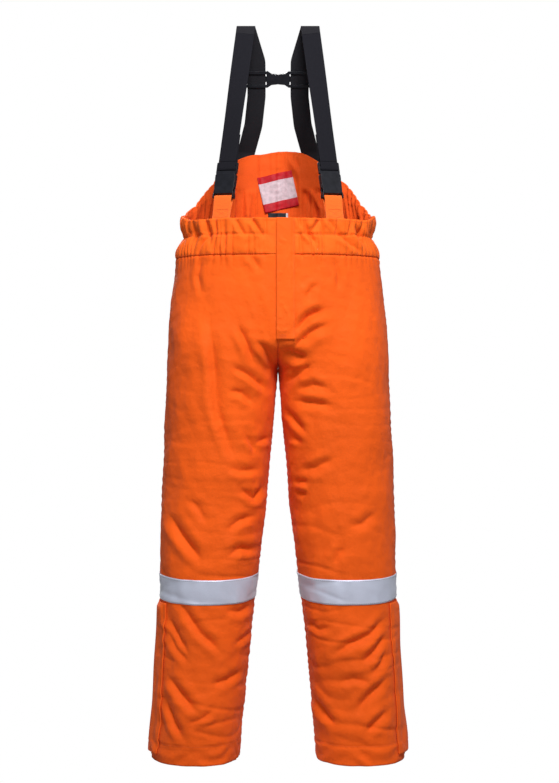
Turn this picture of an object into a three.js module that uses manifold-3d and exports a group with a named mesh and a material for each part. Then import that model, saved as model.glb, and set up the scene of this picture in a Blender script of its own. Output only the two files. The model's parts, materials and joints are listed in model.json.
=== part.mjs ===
// Insulated flame-retardant over-trousers with braces, standing as if worn.
// Millimetres. The origin is on the floor under the middle of the garment, +Z up, the front faces
// -Y and +X is the wearer's left. The garment is a sewn shell of panels over a lining, with an
// elasticated waistband, a zipped and flapped fly, zipped ankles under storm flaps, reflective
// bands, and two webbing braces with side-release buckles joined by a slider at the back.
import * as THREE from "three";
import { LoftGeometry } from "three/addons/geometries/LoftGeometry.js";
import { mergeVertices } from "three/addons/utils/BufferGeometryUtils.js";
import Module from "manifold-3d";

const wasm = await Module();
wasm.setup();

const DEGREE = Math.PI / 180;
const GAP = 0.3; // between pieces that touch

// ---- Heights, each built on the one below ----
const INSIDE_LEG = 787;
const CROTCH_CURVE = 60; // height in which the two legs merge into the seat
const SEAT_RISE = 93; // crotch to the fullest part of the hips
const FRONT_RISE = 225; // crotch to waist seam
const LOWER_CHANNEL = 40; // elasticated channel of the waistband
const UPPER_CHANNEL = 32; // gathered heading above the elastic
const SIDE_RAISE = 16; // the waist edge climbs this much from front to side
const BACK_RAISE = 166; // and this much from front to the middle of the high back
const BRACE_REACH = 406; // waistband top to the shoulder fold of the braces
const FORK_Z = INSIDE_LEG;
const HIP_Z = FORK_Z + SEAT_RISE;
const WAIST_SEAM_Z = FORK_Z + FRONT_RISE;
const ELASTIC_Z = WAIST_SEAM_Z + LOWER_CHANNEL;
const BAND_TOP_Z = ELASTIC_Z + UPPER_CHANNEL;
const SIDE_TOP_Z = BAND_TOP_Z + SIDE_RAISE;
const BACK_TOP_Z = BAND_TOP_Z + BACK_RAISE;
const FOLD_Z = BAND_TOP_Z + BRACE_REACH;
const HEM_HEIGHT = 38;
const CALF_Z = 318; // the leg is a straight cone up to here, where the ankle zip ends
const KNEE_Z = 517;
const FLY_FOOT_Z = FORK_Z + 63;

// ---- Girths: half widths and depths at those heights ----
const FORK_HALF_WIDTH = 113;
const legCentre = profile([[0, 168], [CALF_Z, 143.5], [KNEE_Z, 131], [FORK_Z, FORK_HALF_WIDTH]]);
const legHalf = profile([[0, 90], [CALF_Z, 96.5], [KNEE_Z, 108], [FORK_Z, FORK_HALF_WIDTH]]);
const legFront = profile([[0, 98], [CALF_Z, 98], [KNEE_Z, 103], [FORK_Z, 117]]);
const legBack = profile([[0, 96], [CALF_Z, 98], [KNEE_Z, 104], [FORK_Z, 124]]);
const hipHalf = profile([
  [FORK_Z, 2 * FORK_HALF_WIDTH], [HIP_Z, 221], [WAIST_SEAM_Z, 207],
  [WAIST_SEAM_Z + LOWER_CHANNEL / 2, 203], [ELASTIC_Z, 186], [BAND_TOP_Z, 198], [BACK_TOP_Z, 150],
]);
const hipFront = profile([[FORK_Z, 117], [FLY_FOOT_Z, 122], [BAND_TOP_Z, 120]]);
const hipBack = profile([
  [FORK_Z, 124], [HIP_Z, 138], [WAIST_SEAM_Z, 124], [ELASTIC_Z, 112], [BAND_TOP_Z, 121],
  [BACK_TOP_Z, 128],
]);
const ROUNDNESS = 0.87; // 1 is an ellipse, less is squarer

// ---- Layers, measured inwards from the outside of the shell ----
const SHELL = 3; // outer fabric with its wadding
const BAND = 2; // outer fabric of the waistband
const ELASTIC = 1.5;
const FACING = 1.2;
const LINING_INSET = 10;
const LINING = 1.5;
const FLAP = 2; // a doubled flap
const FLAP_STANDOFF = 3.2; // room under a flap for the zip pull and the press stud

// ---- Zips ----
const TAPE_WIDTH = 13;
const TAPE_INSET = SHELL + 1.2; // clear of the shell where it curves away
const TAPE = 0.8;
const TEETH_WIDTH = 2.4;
const TEETH_THICK = 2.6;
const TEETH_SPLIT = 1.4; // between the two rows
const SLIDER_WIDTH = 9.5;
const SLIDER_LENGTH = 14;
const PLATE = 1.2;
const NECK = 0.8;
const PULL_LENGTH = 22;
const PULL_WIDTH = 6;
const PULL = 1.4;
const RIVET_RADIUS = 1.4;
const TEETH_MIDDLE = TAPE_INSET + TAPE / 2; // inset of the middle of the teeth

// ---- Fly ----
const FLY_ZIP_X = 6; // the fly opens just left of the middle
const ZIP_OPENING = 12; // width of the slit that the zip closes
const FLAP_OVERLAP = 3; // the flap's free edge reaches past the slit
const FLY_FLAP_WIDTH = 36;
const FLY_CLEAR = TAPE_WIDTH + TEETH_SPLIT + TEETH_WIDTH + 1; // facings stop this far from the zip
const STUD_RADIUS = 6;
const STUD = 0.8;
const STUD_SPACE = 0.5; // between a stud half and the cloth it is set in
const LABEL = 0.4;
const LABEL_STANDOFF = 1;

// ---- Ankles ----
const ANKLE_SLIT = 5.5; // degrees each side of the side seam
const HEM_SLIT = 12;
const ANKLE_ZIP_FOOT_Z = 13;
const STORM_FLAP_BACK = -6;
const STORM_FLAP_FRONT = 36;
const STORM_FLAP_FOOT_Z = 15;
const REFLECTIVE_Z = 351;
const REFLECTIVE_WIDTH = 50;
const REFLECTIVE = 1;
const REFLECTIVE_DIP = 7; // lower at the front than at the side

// ---- Braces ----
const WEBBING_WIDTH = 38;
const WEBBING = 1.4;
const TAB_X = 121; // middle of the front tab
const TAB_SUNK = 12; // of the tab behind the waistband
const TAB_INSET = 10;
const TAB_REACH = 56; // from the tab's sewn end to the foot of the buckle
const FOLD_X = 65.5;
const FOLD_FLAT = 10; // flat underside of the shoulder fold
const FOLD_EASE = 2; // the strap leaves the flat this far out as it turns down
const BRACE_YAW = 23 * DEGREE; // the front of the brace faces outwards, as the waist does there
const BUCKLE_WIDTH = WEBBING_WIDTH + 7;
const BUCKLE_THICK = 12;
const BUCKLE_LOOP_THICK = 6;
const SOCKET_LENGTH = 51;
const WEBBING_SLOT = 5;
const BAR = 4;
const LADDER_LENGTH = 24;
const CLIP_ROOM = 0.4;
const TAIL_LENGTH = 60;
const TAIL_Y = 0.5; // the tail lies this far behind the middle of the buckle
const SLIDER_SPAN = 136; // back slider, end to end
const SLIDER_HEIGHT = 34;
const SLIDER_NECK = 20;
const SLIDER_THICK = 6;
const BACK_STRAP_X = 45;
const BACK_SLIDER_DROP = 105; // along the strap from the shoulder fold
const SLIDER_REACH = 36; // the straps run straight this far above and below it
const YOKE_CLEARANCE = 0.5;
const BACK_ANCHOR_LENGTH = 66;

// ---- Colours ----
function cloth(color, roughness = 0.8) {
  return new THREE.MeshStandardMaterial({ color, roughness, metalness: 0 });
}
const orange = cloth("#ff6a28");
const insideOrange = cloth("#e8581f");
const orangeTape = cloth("#ff7330");
const elasticWhite = cloth("#d9d6cf");
const silverTape = cloth("#b8c0cf", 0.35);
const webbingBlack = cloth("#26252b", 0.85);
const backWebbingBlack = cloth("#1b1b1e", 0.85);
const blackPlastic = cloth("#15151a", 0.45);
const labelWhite = cloth("#e6d3d8", 0.6);
const labelBlack = cloth("#16181f", 0.6);
const zipTape = cloth("#d8541d");
const brass = new THREE.MeshStandardMaterial({ color: "#b08d4a", roughness: 0.35, metalness: 0.9 });

const garment = new THREE.Group();

// ---- Small helpers ----
// A function through [height, value] points, straight between them.
function profile(points) {
  return (z) => {
    const above = points.findIndex(([height]) => height > z);
    if (above === -1) return points[points.length - 1][1];
    if (above === 0) return points[0][1];
    const [z0, value0] = points[above - 1];
    const [z1, value1] = points[above];
    return THREE.MathUtils.mapLinear(z, z0, z1, value0, value1);
  };
}

function steps(from, to, count) {
  return Array.from({ length: count + 1 }, (_, i) => from + ((to - from) * i) / count);
}

const vector = (x, y, z) => new THREE.Vector3(x, y, z);

function signedVolume(geometry) {
  const positions = geometry.toNonIndexed().getAttribute("position");
  const [a, b, c] = [vector(), vector(), vector()];
  let sum = 0;
  for (let i = 0; i < positions.count; i += 3) {
    a.fromBufferAttribute(positions, i);
    b.fromBufferAttribute(positions, i + 1);
    c.fromBufferAttribute(positions, i + 2);
    sum += a.dot(b.cross(c)) / 6;
  }
  return sum;
}

// A loft with its faces outwards; a ring's last section is its first.
function loft(sections, ring = false) {
  const options = { capStart: !ring, capEnd: !ring };
  const rows = ring ? [...sections, sections[0]] : sections;
  const geometry = new LoftGeometry(rows, options);
  if (signedVolume(geometry) > 0) return geometry;
  return new LoftGeometry(rows.map((row) => row.toReversed()), options);
}

// A sheet of cloth with thickness. place(u, v, inset) is a point of it; us run along the loft.
function clothSheet(place, us, vs, inset, thickness, ring = false) {
  const section = (u) => [
    ...vs.map((v) => place(u, v, inset)),
    ...vs.toReversed().map((v) => place(u, v, inset + thickness)),
  ];
  return loft(us.map(section), ring);
}

// A ribbon of webbing along points [{at, across}], across being the direction of its width.
function ribbon(route, width, thickness) {
  const sections = route.map(({ at, across }, i) => {
    const before = route[Math.max(i - 1, 0)].at;
    const after = route[Math.min(i + 1, route.length - 1)].at;
    const along = after.clone().sub(before).normalize();
    const flat = across.clone().addScaledVector(along, -across.dot(along)).normalize();
    const normal = vector().crossVectors(along, flat);
    flat.multiplyScalar(width / 2);
    normal.multiplyScalar(thickness / 2);
    const corner = (w, t) => at.clone().addScaledVector(flat, w).addScaledVector(normal, t);
    return [corner(-1, -1), corner(1, -1), corner(1, 1), corner(-1, 1)];
  });
  return loft(sections);
}

function solid(geometry) {
  const bare = new THREE.BufferGeometry();
  bare.setAttribute("position", geometry.getAttribute("position").clone());
  if (geometry.index) bare.setIndex(geometry.index.clone());
  const merged = mergeVertices(bare, 1e-4);
  const mesh = new wasm.Mesh({
    numProp: 3,
    vertProperties: merged.getAttribute("position").array,
    triVerts: new Uint32Array(merged.index.array),
  });
  return new wasm.Manifold(mesh);
}

function geometryOf(manifold) {
  const mesh = manifold.getMesh();
  const geometry = new THREE.BufferGeometry();
  geometry.setAttribute("position", new THREE.BufferAttribute(mesh.vertProperties, 3));
  geometry.setIndex(new THREE.BufferAttribute(mesh.triVerts, 1));
  geometry.computeVertexNormals();
  return geometry;
}

// A box between two corners.
function block(x0, x1, y0, y1, z0, z1) {
  const box = new THREE.BoxGeometry(x1 - x0, y1 - y0, z1 - z0);
  return box.translate((x0 + x1) / 2, (y0 + y1) / 2, (z0 + z1) / 2);
}

// An outline in X and Z, extruded through Y from y0 to y1.
function plate(shape, y0, y1, curveSegments = 6) {
  const options = { depth: y1 - y0, bevelEnabled: false, curveSegments };
  return new THREE.ExtrudeGeometry(shape, options).rotateX(Math.PI / 2).translate(0, y1, 0);
}

const outline = (points) => new THREE.Shape(points.map(([x, z]) => new THREE.Vector2(x, z)));

function roundedRectangle(x0, x1, z0, z1, radius) {
  const shape = new THREE.Shape();
  shape.moveTo(x0 + radius, z0);
  shape.lineTo(x1 - radius, z0);
  shape.absarc(x1 - radius, z0 + radius, radius, -Math.PI / 2, 0, false);
  shape.absarc(x1 - radius, z1 - radius, radius, 0, Math.PI / 2, false);
  shape.absarc(x0 + radius, z1 - radius, radius, Math.PI / 2, Math.PI, false);
  shape.absarc(x0 + radius, z0 + radius, radius, Math.PI, 1.5 * Math.PI, false);
  return shape;
}

function join(first, ...others) {
  return others.reduce((whole, next) => whole.add(solid(next)), solid(first));
}

function cut(whole, ...cutters) {
  return cutters.reduce((left, next) => left.subtract(solid(next)), whole);
}

function add(name, geometry, material, group = garment) {
  const mesh = new THREE.Mesh(geometry, material);
  mesh.name = name;
  group.add(mesh);
  return mesh;
}

// ---- The body's surface ----
// side is -1 for the wearer's right and 1 for the left. turn is in degrees round that leg: 0 at the
// side seam, positive towards the front, and 180 or -180 at the inseam, which above the crotch
// becomes the centre seam of the front or the back. A turn past 180 is on the other side.
function seatShare(z) {
  const share = THREE.MathUtils.clamp((z - FORK_Z) / CROTCH_CURVE, 0, 1);
  return Math.sqrt(1 - (1 - share) ** 2);
}

const squared = (value) => Math.sign(value) * Math.abs(value) ** ROUNDNESS;

function surface(side, turn, z, inset = 0) {
  if (Math.abs(turn) > 180) return surface(-side, Math.sign(turn) * (360 - Math.abs(turn)), z, inset);
  const angle = Math.abs(turn) * DEGREE;
  const inFront = turn >= 0;
  const half = z < FORK_Z ? legHalf(z) : hipHalf(z) / 2;
  const centre = z < FORK_Z ? legCentre(z) : half;
  const [legDepth, hipDepth] = inFront ? [legFront, hipFront] : [legBack, hipBack];
  const depth = (z < FORK_Z ? legDepth(z) : hipDepth(z)) - inset;
  // Round a leg, then the same with its inner half opened out to the middle, then an oval waist.
  const leg = [centre + (half - inset) * squared(Math.cos(angle)), depth * squared(Math.sin(angle))];
  const seat = angle > Math.PI / 2 ? [centre * (2 - (2 * angle) / Math.PI), depth] : leg;
  const halfAngle = angle / 2;
  const waist = [(2 * half - inset) * squared(Math.cos(halfAngle)), depth * squared(Math.sin(halfAngle))];
  const towardsWaist = THREE.MathUtils.smoothstep(z, FORK_Z, WAIST_SEAM_Z);
  const [x, y] = [0, 1].map((i) => {
    const hip = THREE.MathUtils.lerp(seat[i], waist[i], towardsWaist);
    return THREE.MathUtils.lerp(leg[i], hip, seatShare(z));
  });
  return vector(side * x, inFront ? -y : y, z);
}

// The turn at which the front (facing 1) or back (facing -1) is x from the middle.
function turnAtX(x, z, facing) {
  let [near, far] = [0, 180];
  for (let i = 0; i < 40; i++) {
    const middle = (near + far) / 2;
    if (Math.abs(surface(1, middle * facing, z).x) > x) near = middle;
    else far = middle;
  }
  return ((near + far) / 2) * facing;
}

// Layers that lie on each other share their sections' turns, so that their flats stay parallel.
const TURN_STEP = 15;
function turnsBetween(from, to) {
  const first = Math.floor(from / TURN_STEP) + 1;
  const count = Math.ceil(to / TURN_STEP) - first;
  return [from, ...Array.from({ length: count }, (_, i) => (first + i) * TURN_STEP), to];
}

const sideName = (side) => (side < 0 ? "right" : "left");

// Half a seam's gap, away from the seams that a panel shares with its neighbours.
function seamShift(side, facing) {
  return vector((side * GAP) / 2, (-facing * GAP) / 2, 0);
}

// ---- Shell and lining ----
// Heights of the sections of a panel; the crotch curve needs them close together.
const crotchShares = [0, 0.02, 0.06, 0.13, 0.22, 0.4, 0.65, 1];
const panelLevels = [
  0, HEM_HEIGHT, CALF_Z - 1, CALF_Z + 1, (CALF_Z + KNEE_Z) / 2, KNEE_Z, (KNEE_Z + FORK_Z) / 2,
  ...crotchShares.map((share) => FORK_Z + share * CROTCH_CURVE),
  FLY_FOOT_Z - 1, FLY_FOOT_Z + 1, HIP_Z, (HIP_Z + WAIST_SEAM_Z) / 2, WAIST_SEAM_Z - GAP,
].sort((a, b) => a - b);

const slitStart = (z) => (z < CALF_Z ? ANKLE_SLIT : 0);

// The turn on that side's front at x, which may lie across the middle.
function frontTurn(side, x, z) {
  const turn = turnAtX(Math.abs(x), z, 1);
  return side * x > 0 ? turn : 360 - turn;
}

function panelEnd(side, facing, z) {
  const slit = facing > 0 && z > FLY_FOOT_Z;
  return slit ? frontTurn(side, FLY_ZIP_X + (side * ZIP_OPENING) / 2, z) : 180;
}

// A sheet from the side seam to the centre seam, whose first and last turns vary with height.
function halfSheet(side, facing, levels, start, end, inset, thickness, shift) {
  const turns = turnsBetween(0, 180);
  const place = (z, turn, depth) => {
    const held = turn === 0 ? start(z) : turn === 180 ? end(z) : turn;
    return surface(side, held * facing, z, depth).add(shift);
  };
  return clothSheet(place, levels, turns, inset, thickness);
}

function shellPanel(side, facing) {
  const end = (z) => panelEnd(side, facing, z);
  return halfSheet(side, facing, panelLevels, slitStart, end, 0, SHELL, seamShift(side, facing));
}

for (const side of [-1, 1]) {
  add(`${sideName(side)}_front_panel`, shellPanel(side, 1), orange);
  add(`${sideName(side)}_back_panel`, shellPanel(side, -1), orange);
}

for (const side of [-1, 1]) {
  for (const [facing, name] of [[1, "front"], [-1, "back"]]) {
    const end = (z) => panelEnd(side, facing, z);
    const levels = panelLevels.map((z) => Math.max(z, HEM_HEIGHT / 2));
    const shift = seamShift(side, facing);
    const lining = halfSheet(side, facing, levels, slitStart, end, LINING_INSET, LINING, shift);
    add(`${sideName(side)}_${name}_lining`, lining, insideOrange);
  }
}

// ---- Hems and reflective bands ----
for (const side of [-1, 1]) {
  const hemPlace = (turn, z, inset) => surface(side, turn > 180 ? turn - 360 : turn, z, inset);
  const hemTurns = turnsBetween(HEM_SLIT, 360 - HEM_SLIT);
  const hemLevels = [GAP, HEM_HEIGHT / 2 - 2 * GAP];
  const hemFacing = clothSheet(hemPlace, hemTurns, hemLevels, SHELL + GAP, FACING);
  add(`${sideName(side)}_hem_facing`, hemFacing, insideOrange);

  const bandPlace = (turn, level, inset) => {
    const at = turn > 180 ? turn - 360 : turn;
    const dip = REFLECTIVE_DIP * Math.sin(at * DEGREE);
    return surface(side, at, REFLECTIVE_Z + level - dip, inset);
  };
  const ringTurns = steps(0, 360, 360 / TURN_STEP).slice(0, -1);
  const half = REFLECTIVE_WIDTH / 2;
  const bandLevels = steps(-half, half, 2);
  const band = clothSheet(bandPlace, ringTurns, bandLevels, -GAP - REFLECTIVE, REFLECTIVE, true);
  add(`${sideName(side)}_reflective_band`, band, silverTape);
}

// ---- Waistband, elastic, facing and the high back ----
function topEdge(turn) {
  if (turn < 0) {
    return THREE.MathUtils.lerp(SIDE_TOP_Z, BACK_TOP_Z, THREE.MathUtils.smoothstep(-turn, 0, 150));
  }
  return THREE.MathUtils.lerp(SIDE_TOP_Z, BAND_TOP_Z, THREE.MathUtils.smoothstep(turn, 0, 70));
}

// The waistband's sections: waist seam, middle of the elastic, elastic seam, heading and top edge.
const BAND_SECTIONS = [0, 1, 2, 3, 4];
function bandHeight(turn, section) {
  const top = topEdge(turn);
  const heading = Math.min(BAND_TOP_Z, (ELASTIC_Z + top) / 2);
  return [WAIST_SEAM_Z + GAP, WAIST_SEAM_Z + LOWER_CHANNEL / 2, ELASTIC_Z, heading, top][section];
}

const level = (turn, z) => z;

const seamTurn = 0.1; // degrees each side of the side seam
const elasticLevels = [WAIST_SEAM_Z + 4, WAIST_SEAM_Z + LOWER_CHANNEL / 2, ELASTIC_Z - 3];

function frontBand(side, heights, toZ, inset, thickness, stopX) {
  const place = (turn, height, depth) => surface(side, turn, toZ(turn, height), depth);
  const turns = turnsBetween(seamTurn, frontTurn(side, stopX, ELASTIC_Z));
  return clothSheet(place, turns, heights, inset, thickness);
}

// Right across the back; round is 0 at the wearer's right side seam and 360 at the left one.
function acrossBack(heights, toZ, inset, thickness) {
  const place = (round, height, depth) => {
    const turn = round <= 180 ? -round : round - 360;
    return surface(round <= 180 ? -1 : 1, turn, toZ(turn, height), depth);
  };
  return clothSheet(place, turnsBetween(seamTurn, 360 - seamTurn), heights, inset, thickness);
}

const facingInset = BAND + 2 * GAP + ELASTIC + 2 * GAP;
for (const side of [-1, 1]) {
  const slitX = FLY_ZIP_X + (side * ZIP_OPENING) / 2;
  const clearX = FLY_ZIP_X + side * FLY_CLEAR;
  const front = `${sideName(side)}_front`;
  add(`${front}_waistband`, frontBand(side, BAND_SECTIONS, bandHeight, 0, BAND, slitX), orange);
  const elastic = frontBand(side, elasticLevels, level, BAND + 2 * GAP, ELASTIC, clearX);
  add(`${front}_elastic`, elastic, elasticWhite);
  const facing = frontBand(side, BAND_SECTIONS, bandHeight, facingInset, FACING, clearX);
  add(`${front}_waist_facing`, facing, insideOrange);
}
add("high_back", acrossBack(BAND_SECTIONS, bandHeight, 0, BAND), orange);
add("back_elastic", acrossBack(elasticLevels, level, BAND + 2 * GAP, ELASTIC), elasticWhite);
add("high_back_facing", acrossBack(BAND_SECTIONS, bandHeight, facingInset, FACING), insideOrange);

// ---- Labels, sewn to the inside of the high back ----
function backLabel(name, width, height, middleZ, tilt, inset, material) {
  const place = (x, level, depth) => {
    const across = x * Math.cos(tilt) - level * Math.sin(tilt);
    const z = middleZ + x * Math.sin(tilt) + level * Math.cos(tilt);
    const side = across < 0 ? -1 : 1;
    return surface(side, turnAtX(Math.max(Math.abs(across), 1e-3), z, -1), z, depth);
  };
  const [xs, levels] = [steps(-width / 2, width / 2, 4), steps(-height / 2, height / 2, 2)];
  add(name, clothSheet(place, xs, levels, inset, LABEL), material);
}
const labelInset = facingInset + FACING + LABEL_STANDOFF;
backLabel("care_label", 78, 78, FORK_Z + 380, 13 * DEGREE, labelInset, labelWhite);
backLabel("size_label", 44, 26, FORK_Z + 321, 0, labelInset, labelBlack);

// ---- Zips ----
// A zip lies along a straight line on the surface. point(along, across, inset) places it: along is
// from 0 at its lower end, across from the middle of its teeth.
function zipHalf(point, length, sign) {
  const teethEdge = TEETH_SPLIT / 2;
  const tapeEdge = teethEdge + TEETH_WIDTH;
  const [tapeOut, tapeIn] = [TEETH_MIDDLE - TAPE / 2, TEETH_MIDDLE + TAPE / 2];
  const [teethOut, teethIn] = [TEETH_MIDDLE - TEETH_THICK / 2, TEETH_MIDDLE + TEETH_THICK / 2];
  const selvedge = teethEdge + TAPE_WIDTH;
  const corners = [
    [teethEdge, teethOut], [tapeEdge, teethOut], [tapeEdge, tapeOut], [selvedge, tapeOut],
    [selvedge, tapeIn], [tapeEdge, tapeIn], [tapeEdge, teethIn], [teethEdge, teethIn],
  ];
  const section = (along) => corners.map(([across, inset]) => point(along, sign * across, inset));
  return loft([section(0), section(length)]);
}

// The slider in its own frame: X across the zip, Y inwards from the surface, Z along it.
function sliderBody() {
  const half = SLIDER_WIDTH / 2;
  const frontOut = TEETH_MIDDLE - TEETH_THICK / 2 - GAP - PLATE;
  const backIn = TEETH_MIDDLE + TEETH_THICK / 2 + GAP + PLATE;
  const shape = roundedRectangle(-half, half, -SLIDER_LENGTH / 2, SLIDER_LENGTH / 2, 2.5);
  const neck = block(-NECK / 2, NECK / 2, frontOut + PLATE / 2, backIn - PLATE / 2, -3, 3);
  const rivetOut = -GAP - PULL - GAP;
  const rivetIn = frontOut + PLATE / 2;
  const rivet = new THREE.CylinderGeometry(RIVET_RADIUS, RIVET_RADIUS, rivetIn - rivetOut, 10);
  rivet.translate(0, (rivetIn + rivetOut) / 2, 0);
  const front = plate(shape, frontOut, frontOut + PLATE, 3);
  const back = plate(shape, backIn - PLATE, backIn, 3);
  return geometryOf(join(front, back, neck, rivet));
}

function pullTab() {
  const half = PULL_WIDTH / 2;
  const shape = roundedRectangle(-half, half, -PULL_LENGTH + half, half, half - 0.2);
  const hole = new THREE.Path().absarc(0, 0, RIVET_RADIUS + 0.3, 0, 2 * Math.PI, true);
  shape.holes.push(hole);
  return plate(shape, -GAP - PULL, -GAP, 4);
}

// Both halves, the slider and its pull along the line from foot to head, facing outwards.
function zip(name, foot, head, outwards, sliderAlong) {
  const along = head.clone().sub(foot);
  const length = along.length();
  along.normalize();
  const inwards = outwards.clone().negate();
  inwards.addScaledVector(along, -inwards.dot(along)).normalize();
  const across = vector().crossVectors(inwards, along);
  const point = (up, sideways, inset) => {
    const at = foot.clone().addScaledVector(along, up);
    return at.addScaledVector(across, sideways).addScaledVector(inwards, inset);
  };
  add(`${name}_zip_half_a`, zipHalf(point, length, -1), zipTape);
  add(`${name}_zip_half_b`, zipHalf(point, length, 1), zipTape);
  const carriage = new THREE.Group();
  carriage.matrixAutoUpdate = false;
  carriage.matrix.makeBasis(across, inwards, along).setPosition(point(sliderAlong, 0, 0));
  garment.add(carriage);
  add(`${name}_zip_slider`, sliderBody(), brass, carriage);
  add(`${name}_zip_pull`, pullTab(), brass, carriage);
}

const outwardsFront = vector(0, -1, 0);
const frontPoint = (x, z) => surface(1, turnAtX(x, z, 1), z);
const flyFoot = frontPoint(FLY_ZIP_X, FLY_FOOT_Z + 4);
const flyHead = frontPoint(FLY_ZIP_X, BAND_TOP_Z - 8);
zip("fly", flyFoot, flyHead, outwardsFront, flyHead.distanceTo(flyFoot) - SLIDER_LENGTH / 2 - 1);

for (const side of [-1, 1]) {
  const foot = surface(side, 0, ANKLE_ZIP_FOOT_Z);
  const head = surface(side, 0, CALF_Z - 4);
  zip(`${sideName(side)}_ankle`, foot, head, vector(side, 0, 0), SLIDER_LENGTH / 2 + 1);
}

// ---- Fly flap, its guard and the press stud ----
const flapStart = FLY_ZIP_X - ZIP_OPENING / 2 - FLAP_OVERLAP;
const flapEnd = flapStart + FLY_FLAP_WIDTH;
function frontAt(x, z, inset) {
  return surface(x < 0 ? -1 : 1, turnAtX(Math.max(Math.abs(x), 1e-3), z, 1), z, inset);
}
const flapX = steps(flapStart, flapEnd, 5);
const flapLevels = steps(FLY_FOOT_Z - 5, BAND_TOP_Z, 5);
add("fly_flap", clothSheet(frontAt, flapX, flapLevels, -FLAP_STANDOFF - FLAP, FLAP), orange);
const guardInset = LINING_INSET + LINING + GAP;
const guardX = steps(FLY_ZIP_X - FLY_CLEAR, FLY_ZIP_X + FLY_CLEAR, 4);
const guardLevels = steps(FLY_FOOT_Z + 2, BAND_TOP_Z - 4, 3);
add("fly_guard", clothSheet(frontAt, guardX, guardLevels, guardInset, FACING), insideOrange);

function studDisc(name, inset) {
  const z = BAND_TOP_Z - 16;
  const at = frontAt(flapEnd - 12, z, inset + STUD / 2);
  const disc = new THREE.CylinderGeometry(STUD_RADIUS, STUD_RADIUS, STUD, 16).translate(at.x, at.y, at.z);
  add(name, disc, brass);
}
studDisc("waist_stud_socket", -FLAP_STANDOFF + STUD_SPACE);
studDisc("waist_stud_post", -STUD_SPACE - STUD);

// ---- Storm flaps over the ankle zips ----
for (const side of [-1, 1]) {
  const turns = turnsBetween(STORM_FLAP_BACK, STORM_FLAP_FRONT);
  const levels = steps(STORM_FLAP_FOOT_Z, CALF_Z, 3);
  const place = (turn, z, inset) => surface(side, turn, z, inset);
  const flap = clothSheet(place, turns, levels, -FLAP_STANDOFF - FLAP, FLAP);
  add(`${sideName(side)}_storm_flap`, flap, orange);
}

// ---- Braces ----
// Each brace has a frame of its own: Z up the webbing from the sewn end of the front tab, X across
// it, and -Y out of its face.
const socketFoot = TAB_REACH;
const socketTop = socketFoot + SOCKET_LENGTH;
const ladderFoot = socketTop + GAP;
const ladderTop = ladderFoot + LADDER_LENGTH;
const topBar = ladderTop - BAR;
const middleBar = topBar - WEBBING_SLOT - BAR;
const lowerSlot = middleBar - WEBBING_SLOT;
const loopOut = BUCKLE_LOOP_THICK / 2 + GAP + WEBBING / 2; // middle of webbing that passes a bar
const cavityHalf = BUCKLE_WIDTH / 2 - 3.5;
const cavityThick = 3.6;
const windowFoot = socketFoot + 13;
const windowTop = socketFoot + 31;
const clipRoot = socketTop - 4;

function socket() {
  const half = BUCKLE_WIDTH / 2;
  const body = outline([
    [-half, socketFoot], [half, socketFoot], [half, socketFoot + 8], [half - 1.5, socketFoot + 13],
    [half - 0.5, socketTop - 4], [half - 2, socketTop], [2 - half, socketTop],
    [0.5 - half, socketTop - 4], [1.5 - half, socketFoot + 13], [-half, socketFoot + 8],
  ]);
  const thick = BUCKLE_THICK / 2;
  const loop = BUCKLE_LOOP_THICK / 2;
  const slotHalf = WEBBING_WIDTH / 2 + 1;
  const slotFoot = socketFoot + BAR;
  const far = half + 5;
  return geometryOf(cut(
    solid(plate(body, -thick, thick)),
    block(-cavityHalf, cavityHalf, -cavityThick, cavityThick, slotFoot + WEBBING_SLOT + 2.5, socketTop + 5),
    block(cavityHalf - 1, far, -cavityThick, cavityThick, windowFoot, windowTop),
    block(-far, 1 - cavityHalf, -cavityThick, cavityThick, windowFoot, windowTop),
    block(-slotHalf, slotHalf, -far, far, slotFoot, slotFoot + WEBBING_SLOT),
    block(-slotHalf, slotHalf, -far, -loop, socketFoot - 5, slotFoot + 1),
    block(-slotHalf, slotHalf, loop, far, socketFoot - 5, slotFoot + 1),
  ));
}

function ladder() {
  const half = BUCKLE_WIDTH / 2;
  const slotHalf = WEBBING_WIDTH / 2 + 1;
  const frame = roundedRectangle(-half, half, ladderFoot, ladderTop, 2);
  const slot = (foot) => {
    const head = foot + WEBBING_SLOT;
    return outline([[-slotHalf, foot], [slotHalf, foot], [slotHalf, head], [-slotHalf, head]]);
  };
  frame.holes.push(slot(lowerSlot), slot(topBar - WEBBING_SLOT));
  const thick = BUCKLE_LOOP_THICK / 2;
  const [rootHalf, rootThick] = [cavityHalf - CLIP_ROOM, cavityThick - CLIP_ROOM];
  const root = block(-rootHalf, rootHalf, -rootThick, rootThick, clipRoot, ladderFoot + 1);
  const tongue = block(-3, 3, -1.2, 1.2, socketFoot + 18, clipRoot + 1);
  return geometryOf(join(plate(frame, -thick, thick, 3), root, tongue));
}

// A springy prong with its catch in the socket's side window.
function prong(sign) {
  const catchOut = BUCKLE_WIDTH / 2 - 0.4;
  const top = clipRoot - GAP;
  const shoulder = cavityHalf - 1.2;
  const points = [
    [10.5, top], [15.5, top], [shoulder, windowTop + 2], [shoulder, windowTop - 0.4],
    [catchOut, windowTop - 0.6], [catchOut, windowTop - 9], [16.5, windowFoot + 1.5],
    [14, windowFoot + 4], [14, windowTop],
  ].map(([x, z]) => [sign * x, z]);
  const half = cavityThick - 2 * CLIP_ROOM;
  return plate(outline(sign > 0 ? points : points.reverse()), -half, half);
}

// A route in the brace's own Y and Z; across is its X unless twist turns it.
const flatRoute = (points) => points.map(([y, z]) => ({ at: vector(0, y, z), across: vector(1, 0, 0) }));

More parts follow.
